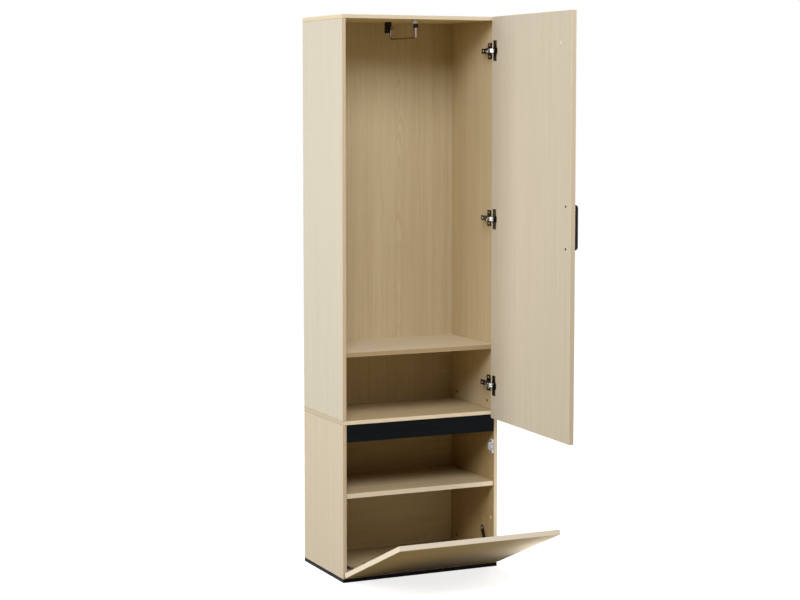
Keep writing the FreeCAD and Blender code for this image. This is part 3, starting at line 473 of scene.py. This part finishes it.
# %% Boards and leaves
DOOR_TURN = (0.0, 0.0, radians(-88.0))
FLAP_TURN = (radians(-67.0), 0.0, 0.0)
LEFT, RIGHT, DOWN = (-1.0, 0.0, 0.0), (1.0, 0.0, 0.0), (0.0, 0.0, -1.0)

# Painted shade: the sides' inside faces take a darker, warmer tone, darker still in the lower carcass,
# and the left sides' front bands are a darker copy of the band.
for part, inside, joints, seed in (("upper", "inner_shade", "bt", 3.0), ("lower", "hollow", "t", 2.0)):
    tone = "outer" if part == "upper" else "lower"
    birch(part + "_side_left", "z", seed, "f", tone, within=RIGHT, inside=inside, joints=joints,
          rub=0.6, arris=GLUE, band=SHADED_LEFT_BAND)
    birch(part + "_side_right", "z", seed + 3.0, "f", tone, within=LEFT, inside=inside, joints=joints,
          rub=0.4, arris=GLUE, band=RIGHT_BAND)
# Painted shade: the top panel's underside takes the inside tone.
birch("top_panel", "x", 5.0, "flrk", within=DOWN)
# The upper floor: painted shade in its tone and at its ends, painted light in its front band.
birch("upper_floor", "x", 6.0, "flrk", "shaded", joints="lr", joint=0.48, shade=SEAM_SHADE,
      band=LIT_SEAM_BAND)
# The upper shelf: painted shade in its tone and in its darker front band.
birch("upper_shelf", "x", 7.0, "f", "shelf", band=SHADED_SHELF_BAND)
# The lower boards: painted shade in their tone, painted light in their front bands.
for seed, node in enumerate(("lower_shelf", "lower_floor", "lower_rear_rail")):
    birch(node, "x", 8.0 + seed, "f", "shaded", band=LIT_LOW_BAND)
# The backs: painted shade in their darker, warmer tones.
birch("upper_back", "z", 11.0, "", "back", figure=2.2, rub=0.9)
birch("lower_back", "x", 12.0, "", "inner_shade", figure=2.0, rub=0.9)
birch("door_panel", "z", 13.0, "lrbt", "leaf", DOOR_TURN, band=DOOR_BAND)
# The flap's bands are painted light.
birch("flap_panel", "x", 14.0, "lrbt", "leaf", FLAP_TURN, band=LIT_FLAP_BAND)
print("birch boards:", sum(m.name.startswith("birch_") for m in bpy.data.materials))

# %% [markdown]
# The base board and the grip strip are black. A flat black would look like a hole, so they get a satin
# skin with faint fibre lines and light rubbing on the arrises, from the same two groups as the birch.

# %% Black boards
BLACK_PALE, BLACK_DEEP = (0.0050, 0.0062, 0.0078, 1.0), (0.0025, 0.0032, 0.0042, 1.0)
BLACK_RUBBED = (0.018, 0.018, 0.019, 1.0)


def black_board(node, seed):
    """Satin black: nearly black fibres with a rubbed arris and uneven gloss."""
    made, tree = new_finish("black_" + node)
    raw = place(tree, "ShaderNodeTexCoord").outputs["Object"]
    laid = {"Vector": raw, "Rotation": LIE_DOWN}
    wood = place(tree, "ShaderNodeGroup", {
        "Vector": place(tree, "ShaderNodeMapping", laid).outputs[0],
        "Seed": seed, "Pale": BLACK_PALE, "Deep": BLACK_DEEP}, node_tree=birch_grain).outputs
    edge = edge_masks(tree, raw, *board_box(node, NO_TURN))
    skin = tint(tree, calc(tree, "MULTIPLY", edge["Rub"], 0.30), wood["Color"], BLACK_RUBBED)
    board_shader(tree, wood, skin, (0.55, 0.42), 0.15, 0.06)
    dress(node, made)


black_board("base_board", 21.0)
black_board("grip_rail", 22.0)
print("black boards:", sum(m.name.startswith("black_") for m in bpy.data.materials))

# %% [markdown]
# The small fittings are plated steel or moulded plastic. A plain colour would make them look like toys.
# One group gives the fine streaks and smudges of plating, another the skin of a moulding, and each
# finish is a line in a table with its own two colours and its own range of roughness.

# %% Plated metal and moulded plastic as shared node groups
def make_skin(name, uneven, broad, fine, weights, ends):
    """Two noises, broad and fine. Their weighted sum picks a colour from Dark to Light; the broad one
    also goes out on its own, and the fine one as a height. Each noise is (stretch, detail)."""
    tree, given, out = new_group(
        name, {"Vector": "Vector", "Dark": "Color", "Light": "Color"},
        {"Color": "Color", uneven: "Float", "Height": "Float"},
    )
    small = cloud(tree, given.outputs["Vector"], *fine)
    large = cloud(tree, given.outputs["Vector"], *broad)
    part = calc(tree, "MULTIPLY", small, weights[1])
    mixed = ramp(tree, calc(tree, "MULTIPLY_ADD", large, weights[0], part), *ends)
    skin = tint(tree, mixed, given.outputs["Dark"], given.outputs["Light"])
    for source, label in ((skin, "Color"), (large, uneven), (small, "Height")):
        tree.links.new(source, out.inputs[label])
    return tree


plated = make_skin("plated_streaks", "Smudge", ((95.0, 95.0, 95.0), 3.0),
                   ((60.0, 2600.0, 2600.0), 2.0), (0.7, 0.5), (0.35, 0.85))
moulded = make_skin("moulded_skin", "Cloud", ((70.0, 70.0, 70.0), 2.0),
                    ((2400.0, 2400.0, 2400.0), 2.0), (0.7, 0.3), (0.3, 0.7))
print("groups", plated.name, moulded.name)

# %% Fitting finishes
FITTINGS = {  # material, group, dark, light, roughness, metal, bump, gloss
    "hinge_steel": ("dark_nickel", plated, (0.042, 0.036, 0.026), (0.095, 0.082, 0.062),
                    (0.26, 0.38), 1.0, 0.08, 0.5),
    "link_steel": ("bright_nickel", plated, (0.42, 0.415, 0.41), (0.60, 0.595, 0.59),
                   (0.26, 0.38), 1.0, 0.08, 0.5),
    "screw_steel": ("zinc_screw", plated, (0.42, 0.42, 0.43), (0.62, 0.62, 0.63),
                    (0.26, 0.40), 1.0, 0.08, 0.5),
    "stay_steel": ("dull_nickel", plated, (0.050, 0.042, 0.034), (0.110, 0.098, 0.082),
                   (0.30, 0.42), 1.0, 0.08, 0.5),
    "dark_steel": ("blackened_steel", plated, (0.030, 0.030, 0.033), (0.065, 0.065, 0.07),
                   (0.35, 0.5), 1.0, 0.08, 0.5),
    "rail_chrome": ("dark_chrome", plated, (0.26, 0.25, 0.24), (0.40, 0.39, 0.37),
                    (0.08, 0.18), 1.0, 0.02, 0.5),
    "rod_chrome": ("polished_rod", plated, (0.66, 0.62, 0.55), (0.80, 0.76, 0.68),
                   (0.26, 0.36), 1.0, 0.02, 0.5),
    "zinc": ("zinc_rivet", plated, (0.60, 0.59, 0.57), (0.72, 0.71, 0.69),
             (0.40, 0.5), 0.3, 0.05, 0.5),
    "magnet": ("magnet_plating", plated, (0.42, 0.47, 0.55), (0.52, 0.57, 0.66),
               (0.40, 0.5), 0.2, 0.05, 0.5),
    "black_metal": ("satin_black_lacquer", moulded, (0.003, 0.003, 0.003), (0.006, 0.006, 0.006),
                    (0.42, 0.54), 0.0, 0.10, 0.20),
    "black_plastic": ("black_moulding", moulded, (0.004, 0.004, 0.004), (0.009, 0.009, 0.009),
                      (0.46, 0.60), 0.0, 0.18, 0.2),
    "white_plastic": ("white_moulding", moulded, (0.74, 0.745, 0.76), (0.82, 0.82, 0.83),
                      (0.36, 0.48), 0.0, 0.12, 0.45),
    "latch_insert": ("blue_grey_moulding", moulded, (0.36, 0.42, 0.52), (0.44, 0.50, 0.60),
                     (0.38, 0.5), 0.0, 0.1, 0.4),
    "dark_plug": ("brown_plug", moulded, (0.060, 0.042, 0.026), (0.095, 0.068, 0.044),
                  (0.45, 0.6), 0.0, 0.12, 0.4),
    "milk_cap": ("milk_cap_moulding", moulded, (0.82, 0.77, 0.66), (0.92, 0.87, 0.76),
                 (0.36, 0.48), 0.0, 0.10, 0.4),
    "grey_cap": ("grey_cap_moulding", moulded, (0.53, 0.50, 0.43), (0.61, 0.58, 0.51),
                 (0.36, 0.48), 0.0, 0.10, 0.4),
    "clear_cap": ("milky_bumper", moulded, (0.66, 0.63, 0.57), (0.76, 0.73, 0.67),
                  (0.14, 0.24), 0.0, 0.05, 0.5),
    # Painted shade: the stay's wall plates and screws take the dark, shaded tone of the wall they sit on.
    "shaded_wall_tone": ("shaded_wall_tone_moulding", moulded, (0.445, 0.322, 0.156), (0.52, 0.388, 0.20),
                  (0.6, 0.7), 0.0, 0.10, 0.02),
    "dowel_wood": ("turned_beech", moulded, (0.46, 0.31, 0.17), (0.58, 0.41, 0.24),
                   (0.55, 0.7), 0.0, 0.2, 0.3),
}


UNEVEN_ENDS, SKIN_RELIEF = (0.3, 0.7), 0.0001


def fitting(name, group, dark, light, rough, metal, bump, gloss):
    """A finish for small fittings: colour and roughness vary between two values over the surface."""
    made, tree = new_finish(name)
    raw = place(tree, "ShaderNodeTexCoord").outputs["Object"]
    wires = {"Vector": raw, "Dark": dark + (1.0,), "Light": light + (1.0,)}
    skin = place(tree, "ShaderNodeGroup", wires, node_tree=group).outputs
    relief = {"Strength": bump, "Distance": SKIN_RELIEF, "Height": skin["Height"]}
    shader = place(tree, "ShaderNodeBsdfPrincipled", {
        "Base Color": skin["Color"], "Roughness": ramp(tree, skin[1], *UNEVEN_ENDS, *rough),
        "Normal": place(tree, "ShaderNodeBump", relief).outputs[0],
        "Metallic": metal, "Specular IOR Level": gloss})
    place(tree, "ShaderNodeOutputMaterial", {"Surface": shader.outputs[0]})
    return made


finishes = {key: fitting(*row) for key, row in FITTINGS.items()}
print("fitting finishes:", len(finishes))

# %% Fittings that keep their solid's shape
# The stay's wall plates take the wall's painted shade.
OWN_FINISH = {"rail_rod": "rod_chrome", "rail_front_bracket": "rail_chrome",
              "stay_wall_plates": "shaded_wall_tone", "latch_magnet": "magnet"}

slot_of = {part["node"]: part["material_slot"] for part in frame["record"]["subparts"]}
for node, slot in slot_of.items():
    finish = finishes.get(OWN_FINISH.get(node, slot))
    if finish:
        dress(node, finish)
print("slots:", len(set(slot_of.values())))

# %% [markdown]
# Screws, plugs, caps and rivets are all turned shapes, and the plain solids only give their place and
# size. They could be spun with a modifier one at a time. Here one profile is turned with numpy and set
# out at every place; the places are read back from the solids, so a screw stays where its hole is.

# %% Places of the turned solids
WIDEST = 0.9


def shells(node):
    """Points of each closed shell of a node: corners at one place share a number, and the lowest number
    spreads along the triangles until nothing changes."""
    mesh = nodes[node].data
    co = np.empty(len(mesh.vertices) * 3, np.float32)
    mesh.vertices.foreach_get("co", co)
    corner = np.empty(len(mesh.loops), np.int32)
    mesh.loops.foreach_get("vertex_index", corner)
    rounded = np.round(co.reshape(-1, 3) * 1e6).astype(np.int64)
    spots, spot_of = np.unique(rounded, axis=0, return_inverse=True)
    triangles = spot_of.ravel()[corner].reshape(-1, 3)
    number = np.arange(len(spots))
    changed = True
    while changed:
        spread = number.copy()
        np.minimum.at(spread, triangles.ravel(), np.repeat(number[triangles].min(1), 3))
        spread = spread[spread]
        changed = bool((spread != number).any())
        number = spread
    return [spots[number == k] / 1e6 for k in np.unique(number)]


def turning(points, inwards):
    """Middle and axis of a turned solid, and its points' heights along the axis and distances from it.
    The axis is the principal direction that differs most from the other two; it points to the wider
    end, or for a flat disc to the middle of the unit."""
    middle = points.mean(0)
    size, ways = np.linalg.svd(points - middle, full_matrices=False)[1:]
    axis = ways[0] if size[0] - size[1] > size[1] - size[2] else ways[2]
    height = (points - middle) @ axis
    apart = np.linalg.norm(points - middle - height[:, None] * axis, axis=1)
    wide = height[apart > WIDEST * apart.max()].mean() > (height.max() + height.min()) / 2.0
    centre = np.array([0.0, 0.0, middle[2]])
    flip = axis @ (centre - middle) < 0.0 if inwards else not wide
    return middle, (-axis, -height, apart) if flip else (axis, height, apart)


print("shells of the hinge screws:", len(shells("door_plate_screws")))

# %% Closed grids
def closed_faces(rows, columns):
    """Quads between the rows of a grid whose columns close on themselves, and the fans that close its
    first and last row at two points stored after the grid."""
    row, column = np.meshgrid(np.arange(rows - 1), np.arange(columns), indexing="ij")
    here, beside = row * columns + column, row * columns + (column + 1) % columns
    quads = np.stack([here, here + columns, beside + columns, beside], -1).reshape(-1, 4)
    ring = np.arange(columns)
    turn, last = (ring + 1) % columns, (rows - 1) * columns
    first_point = np.full(columns, rows * columns)
    head = np.stack([first_point, ring, turn], -1)
    foot = np.stack([first_point + 1, last + turn, last + ring], -1)
    return quads, np.vstack([head, foot])


def outward(points, quads, fans):
    """Turns all faces of a closed shape over when the volume they enclose comes out negative."""
    triangles = np.vstack([quads[:, :3], quads[:, [0, 2, 3]], fans])
    a, b, c = points[triangles].transpose(1, 0, 2)
    volume = (a * np.cross(b, c)).sum()
    return (points, quads, fans) if volume > 0.0 else (points, quads[:, ::-1], fans[:, ::-1])


print("a grid of 3 rows and 8 columns has", len(closed_faces(3, 8)[0]), "quads")

# %% Turned shapes
ABOVE_SEAT = 0.2


def turned(profile, sides=32, relief=None):
    """A profile of (radius, height) pairs from top to bottom, turned about Z: x = radius cos a and
    y = radius sin a. The first and last pair lie on the axis. relief(x, y) is taken off the heights
    above the seat."""
    profile = np.array(profile)
    a = np.arange(sides) * 2.0 * np.pi / sides
    radius, height = profile[1:-1, 0, None], profile[1:-1, 1, None]
    rings = np.stack([radius * np.cos(a), radius * np.sin(a), height + 0.0 * a], -1).reshape(-1, 3)
    points = np.vstack([rings, [[0.0, 0.0, profile[0, 1]], [0.0, 0.0, profile[-1, 1]]]])
    if relief is not None:
        raised = points[:, 2] > ABOVE_SEAT * profile[0, 1]
        points[:, 2] -= np.where(raised, relief(points[:, 0], points[:, 1]), 0.0)
    return points, *closed_faces(len(profile) - 2, sides)


def set_out(shape, axis, seat):
    """A turned shape stood on a seat: x, y and z go along two directions square to the axis and along
    the axis."""
    points, *faces = shape
    helper = np.array([0.0, 0.0, 1.0]) if abs(axis[2]) < 0.9 else np.array([1.0, 0.0, 0.0])
    side = np.cross(helper, axis)
    side /= np.linalg.norm(side)
    return seat + points @ np.stack([side, np.cross(axis, side), axis]), *faces


print("turned shapes ready")

# %% Making a piece
def body_of_node(node):
    """The body that a solid moves with."""
    bodies = frame["record"]["behaviour"]["bodies"]
    return next(body for body, held in bodies.items() if node in held)


def make_piece(name, shapes, finish, body, replaced=()):
    """Joins (points, quads, fans) shapes into one mesh with a finish, and lets it ride a body."""
    shapes = [outward(*shape) for shape in shapes]
    starts = np.cumsum([0] + [len(s[0]) for s in shapes])
    faces = [(f + n).tolist() for s, n in zip(shapes, starts) for f in s[1:]]
    mesh = bpy.data.meshes.new(name)
    mesh.from_pydata(np.vstack([s[0] for s in shapes]).tolist(), [], sum(faces, []))
    mesh.polygons.foreach_set("use_smooth", np.ones(len(mesh.polygons), bool))
    mesh.materials.append(finishes[finish])
    piece = bpy.data.objects.new(name, mesh)
    bpy.context.scene.collection.objects.link(piece)
    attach(piece, body)
    if replaced:
        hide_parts(*replaced)
    return piece


def stand_in(node, suffix, shapes, finish):
    """A piece that takes a solid's place on the solid's own body."""
    return make_piece(node + suffix, shapes, finish, body_of_node(node), [node])


print("the handle rides", body_of_node("door_handle"))

# %% [markdown]
# The screws are cross-head pan screws. A cross could be cut with a boolean, but the turned head is a
# height above a disc, so the cross is simply taken off that height where both offsets from its arms are
# small. The latch's screws sit lower, because the latch that is made below has low ears.

# %% Screw shape
CROWN = np.array([0.0, 0.12, 0.25, 0.4, 0.55, 0.7, 0.85])


def cross(width, length, depth):
    """Depth of a cross recess: full where the smaller offset is under the arm's width and the larger
    under its length, with slanted walls between."""
    def taken(x, y):
        small, large = np.minimum(abs(x), abs(y)), np.maximum(abs(x), abs(y))
        across = np.clip(2.0 - 2.0 * small / width, 0.0, 1.0)
        return depth * across * np.clip(3.0 - 3.0 * large / length, 0.0, 1.0)
    return taken


def pan_screw(head, rise, shank, reach):
    """Profile of a pan head, its shank and its point: the head's height falls with the square of the
    radius."""
    r = head * CROWN
    crown = np.stack([r, rise * (1.0 - 0.45 * (r / head) ** 2)], -1)
    rim = [(0.96 * head, 0.42 * rise), (head, 0.15 * rise), (head, 0.0)]
    return np.vstack([crown, rim, [(shank, 0.0), (shank, -0.8 * reach), (0.0, -reach)]])


print("points in a screw's profile:", len(pan_screw(0.004, 0.002, 0.002, 0.01)))

# %% Screws
EAR_STEP = 0.007
CROSS_WIDTH, CROSS_LENGTH, CROSS_DEPTH = 0.30, 0.66, 0.6
SCREW_FINISH = {
    "door_plate_screws": "screw_steel", "door_cup_screws": "hinge_steel",
    "flap_plate_screws": "screw_steel", "flap_cup_screws": "hinge_steel",
    # The stay's wall screws take the wall's painted shade.
    "stay_wall_screws": "shaded_wall_tone", "stay_foot_screws": "stay_steel",
    "rail_screws": "screw_steel", "handle_screws": "dark_steel", "latch_screws": "dark_steel",
}


def screw_set(node, finish, lowered):
    """One screw for each shell of a node, measured from the shell; lowered sinks the head."""
    shapes = []
    for points in shells(node):
        middle, (axis, height, apart) = turning(points, False)
        head = apart.max()
        wide = height[apart > WIDEST * head]
        shank = apart[height < wide.min() - 1e-4].max()
        seat, rise = wide.min() - lowered, wide.max() - wide.min()
        profile = pan_screw(head, rise, shank, seat - height.min())
        recess = cross(CROSS_WIDTH * head, CROSS_LENGTH * head, CROSS_DEPTH * rise)
        shape = turned(profile, 32, recess)
        shapes.append(set_out(shape, axis, middle + seat * axis))
    return stand_in(node, ".cross_head", shapes, finish)


screws = [screw_set(node, finish, EAR_STEP if node == "latch_screws" else 0.0)
          for node, finish in SCREW_FINISH.items()]
print("screw pieces:", len(screws), "faces:", sum(len(s.data.polygons) for s in screws))

# %% [markdown]
# Plugs close the bores that this setup leaves free, and caps cover the fixings of the back. Both are
# thin pressed buttons. A domed profile with a soft rim catches one small highlight, as a pressed button
# does, and the plugs get a dimple in the middle, which a flat disc lacks.

# %% Plugs, caps and the door's bumper
BUTTONS = {  # finish, how far the rim flares, dimple as a share of the rise
    "wall_plugs": ("dark_plug", 1.4, 0.6),
    "back_caps": ("grey_cap", 1.3, 0.0),
    "side_caps": ("milk_cap", 1.3, 0.0),
    "door_cap": ("clear_cap", 1.0, 0.0),
}


def button(radius, rise, dimple=0.0):
    """A dome of height (1 - radius to the fourth) with a dimple of height (1 - radius squared)
    squared."""
    r = np.linspace(0.0, 1.0, 12) ** 0.8
    hollow = dimple * np.clip(1.0 - (r / 0.5) ** 2, 0.0, 1.0) ** 2
    dome = rise * (1.0 - 0.85 * r**4) - hollow
    return np.vstack([np.stack([radius * r, dome], -1), [(radius, 0.0), (0.0, 0.0)]])


def button_set(node, finish, flare, dimple):
    """A button for each flat shell of a node, standing on the face that the shell lies on."""
    shapes = []
    for points in shells(node):
        middle, (axis, height, apart) = turning(points, True)
        rise = height.max() - height.min()
        shape = turned(button(flare * apart.max(), rise, dimple * rise), 28)
        shapes.append(set_out(shape, axis, middle + height.min() * axis))
    return stand_in(node, ".button", shapes, finish)


buttons = [button_set(node, *row) for node, row in BUTTONS.items()]
print("buttons:", [b.name for b in buttons])

# %% [markdown]
# The flap's stays have a rocker on each wall, a flat bar that narrows from its pivot to its elbow.
# A box would show square ends. The hull of two circles is the outline of such a bar, and carrying it
# through the thickness with a quarter circle at both faces breaks the sharp edges.

# %% Stay rockers
HEAD_RADIUS, TAIL_RADIUS, ARRIS = 0.0105, 0.0075, 0.0005
ARC, ROUND = 28, 6


def tapered_bar(start, end, low, high):
    """The hull of two circles in the Y-Z plane, carried through the thickness along X: near both faces
    the radii shrink by a quarter circle."""
    way = (end - start) / np.linalg.norm(end - start)
    side = np.array([-way[1], way[0]])
    lean = np.arccos((HEAD_RADIUS - TAIL_RADIUS) / np.linalg.norm(end - start))
    a = np.concatenate([np.linspace(lean, 2.0 * np.pi - lean, ARC), np.linspace(-lean, lean, ARC)])
    centre = np.repeat([start, end], ARC, 0)
    radius = np.repeat([HEAD_RADIUS, TAIL_RADIUS], ARC)
    quarter = np.linspace(0.0, np.pi / 2.0, ROUND)
    inset = ARRIS * (1.0 - np.concatenate([np.sin(quarter), np.sin(quarter[::-1])]))[:, None]
    x = np.concatenate([low + ARRIS * (1.0 - np.cos(quarter)),
                        high - ARRIS * (1.0 - np.cos(quarter[::-1]))])[:, None]
    rim = np.stack([np.cos(a), np.sin(a)], -1) @ np.stack([way, side])
    plane = centre + (radius - inset)[..., None] * rim
    rings = np.stack([x + 0.0 * a, plane[..., 0], plane[..., 1]], -1)
    middle = (start + end) / 2.0
    ends = np.array([[low, *middle], [high, *middle]])
    return np.vstack([rings.reshape(-1, 3), ends]), *closed_faces(len(x), 2 * ARC)


joints = frame["record"]["behaviour"]["joints"]
pivot = next(np.array(j["pos_m"]) for j in joints if j["name"] == "stay_rocker_turn")
bars = []
for points in shells("stay_rockers"):
    way = points[:, 1:].mean(0) - pivot[1:]
    along = (points[:, 1:] - pivot[1:]) @ way / np.linalg.norm(way)
    tip = pivot[1:] + way / np.linalg.norm(way) * (along.max() - TAIL_RADIUS)
    bars.append(tapered_bar(pivot[1:], tip, points[:, 0].min(), points[:, 0].max()))
rockers = stand_in("stay_rockers", ".tapered", bars, "stay_steel")
print("rocker faces:", len(rockers.data.polygons))

# %% [markdown]
# Each rocker turns on a rivet, and each hinge arm has two adjusting screws on its back. The solids don't
# have them, so they are added as pieces of their own: the rivets on the joint's axis, the adjusters on
# the flat of each arm.

# %% Rivets and adjusting screws
RIVET_RADIUS, RIVET_RISE = 0.0042, 0.0006
ARM_FLAT, ADJUSTER_BACK = 0.030, (0.012, 0.034)
ADJUSTER, ADJUSTER_CROSS = (0.0036, 0.0014, 0.0018, 0.003), (0.0010, 0.0024, 0.0009)
ARM_FACES = {"door": np.array(LEFT), "flap": np.array([0.0, 0.0, 1.0])}

reach = min(p[:, 0].min() for p in shells("stay_rockers") if p[:, 0].min() > 0.0)
rivets = [set_out(turned(button(RIVET_RADIUS, RIVET_RISE), 24), np.array([-way, 0.0, 0.0]),
                  pivot * (0.0, 1.0, 1.0) + (way * reach, 0.0, 0.0)) for way in (-1.0, 1.0)]
make_piece("stay_wall_rivets", rivets, "zinc", "carcass")
adjuster = turned(pan_screw(*ADJUSTER), 32, cross(*ADJUSTER_CROSS))
for leaf, out in ARM_FACES.items():
    shapes = []
    for points in shells(leaf + "_hinge_arms"):
        flat = points[points[:, 1] > points[:, 1].max() - ARM_FLAT]
        face, middle = (flat @ out).max(), (points.max(0) + points.min(0)) / 2.0
        for back in ADJUSTER_BACK:
            seat = middle * (1.0 - abs(out)) + face * out
            seat[1] = points[:, 1].max() - back
            shapes.append(set_out(adjuster, out, seat))
    make_piece(leaf + "_hinge_adjusters", shapes, "screw_steel", "carcass")
    print(leaf, "adjusting screws:", len(shapes))

# %% [markdown]
# The handle is one bent flat bar with soft corners. A box with a bevel would keep square bends. A rounded
# section carried along a path of straight runs and quarter circles bends as a bar does.

# %% Handle
BEND, HALF_BAR, SHALLOWER = 0.0065, 0.0042, 0.0022


def soft_section(wide, thick, power, count):
    """A ring with x = wide sgn(cos) |cos|^(2/power) and y = thick sgn(sin) |sin|^(2/power)."""
    a = np.arange(count) * 2.0 * np.pi / count
    ring = np.stack([np.cos(a), np.sin(a)])
    x, y = np.sign(ring) * np.abs(ring) ** (2.0 / power)
    return wide * x, thick * y


def bow_handle():
    """A rounded section carried out from the door, round a quarter circle, along the bar and back. It is
    worked out for the shut door and then turned about Z to the open one."""
    low, high = board_box("door_handle", DOOR_TURN)
    face, crest, middle = high[1], low[1] + HALF_BAR + SHALLOWER, (low[0] + high[0]) / 2.0
    foot, head, half_way = low[2] + HALF_BAR, high[2] - HALF_BAR, (high[1] + crest + BEND) / 2.0
    a = np.linspace(0.0, np.pi / 2.0, 12)
    bend_y, bend_z = crest + BEND * (1.0 - np.sin(a)), BEND * (1.0 - np.cos(a))
    y = np.concatenate([[face, half_way], bend_y, bend_y[::-1], [half_way, face]])
    z = np.concatenate([[foot, foot], foot + bend_z, head - bend_z[::-1], [head, head]])
    way = np.concatenate([[0.0, 0.0], a, np.pi - a[::-1], [np.pi, np.pi]])[:, None]
    across, out = soft_section((high[0] - low[0]) / 2.0, HALF_BAR, 5.0, 40)
    y_out, z_out = y[:, None] - np.sin(way) * out, z[:, None] - np.cos(way) * out
    rings = np.stack([middle + across + 0.0 * y_out, y_out, z_out], -1)
    points = np.vstack([rings.reshape(-1, 3), [[middle, face, foot], [middle, face, head]]])
    c, s = np.cos(-DOOR_TURN[2]), np.sin(-DOOR_TURN[2])
    opened = np.array([[c, -s, 0.0], [s, c, 0.0], [0.0, 0.0, 1.0]])
    return points @ opened.T, *closed_faces(len(y), 40)


handle = stand_in("door_handle", ".bow", [bow_handle()], "black_metal")
print("handle faces:", len(handle.data.polygons))

# %% [markdown]
# The push latch is a white moulded block between two lower ears, and each ear takes a screw. Boxes put
# together would show their joints. A section that grows from ear to block and back, carried down the
# wall, gives it all in one shell.

# %% Latch body
EAR, SLOPE, RIM, RIM_INSET = 0.0105, 0.0012, 0.0012, 0.12


def latch_body():
    """A rounded section carried down the wall; its depth steps from ear to block and back along a
    smooth ramp, and at both ends it shrinks by a quarter circle."""
    low, high = (np.array(c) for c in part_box("latch_housing"))
    z = np.linspace(high[2], low[2], 72)
    near = np.minimum(high[2] - z, z - low[2])
    share = np.clip((near - EAR) / SLOPE, 0.0, 1.0)
    proud = (high[0] - low[0]) - EAR_STEP * (1.0 - share * share * (3.0 - 2.0 * share))
    x, y = soft_section(0.5, (high[1] - low[1]) / 2.0, 9.0, 56)
    rim = np.clip(near / RIM, 0.0, 1.0)
    rim = (1.0 - RIM_INSET + RIM_INSET * np.sqrt(1.0 - (1.0 - rim) ** 2))[:, None]
    middle = (low[1] + high[1]) / 2.0
    rings = np.stack([high[0] - proud[:, None] * rim * (0.5 - x), middle + rim * y,
                      z[:, None] + 0.0 * x], -1)
    core = high[0] - proud[0] / 2.0
    ends = np.array([[core, middle, high[2]], [core, middle, low[2]]])
    return np.vstack([rings.reshape(-1, 3), ends]), *closed_faces(len(z), 56)


latch = stand_in("latch_housing", ".eared", [latch_body()], "white_plastic")
print("latch faces:", len(latch.data.polygons))

# %% [markdown]
# The latch's face holds a blue-grey insert, and the hanger rail ends in a black knob. Both are soft
# blocks. A cube with a bevel would keep flat sides; a superellipse in both directions swells a little,
# as mouldings of this size do.

# %% Insert and knob
INSERT_INSET, INSERT_PROUD, INSERT_DEEP = np.array([0.0006, 0.0, 0.0112]), 0.0010, 0.002


def soft_block(low, high, power, rows=25, columns=48):
    """A rounded box between two corners: the section's scale follows (1 - |t|^power)^(1/power) from
    foot to head."""
    t = np.sin(np.linspace(-np.pi / 2.0, np.pi / 2.0, rows + 2))[1:-1][::-1, None]
    scale = (1.0 - np.abs(t) ** power) ** (1.0 / power)
    mid, half = (low + high) / 2.0, (high - low) / 2.0
    x, y = soft_section(half[0], half[1], power, columns)
    rings = np.stack([mid[0] + scale * x, mid[1] + scale * y, mid[2] + half[2] * t + 0.0 * x], -1)
    ends = np.array([[mid[0], mid[1], high[2]], [mid[0], mid[1], low[2]]])
    return np.vstack([rings.reshape(-1, 3), ends]), *closed_faces(rows, columns)


low, high = (np.array(c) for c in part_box("latch_housing"))
insert_low = low + INSERT_INSET - (0.0, INSERT_PROUD, 0.0)
insert_high = np.array([high[0], low[1] + INSERT_DEEP, high[2]]) - INSERT_INSET
insert = soft_block(insert_low, insert_high, 7.0)
make_piece("latch_insert", [insert], "latch_insert", "carcass")
knob = soft_block(*(np.array(c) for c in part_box("rail_knob")), 4.0)
stand_in("rail_knob", ".soft", [knob], "black_plastic")
print("insert and knob points:", len(insert[0]), len(knob[0]))

# %% [markdown]
# The picture is judged without a film look, so the view is plain.

# %% Close
bpy.context.scene.view_settings.view_transform = "Standard"
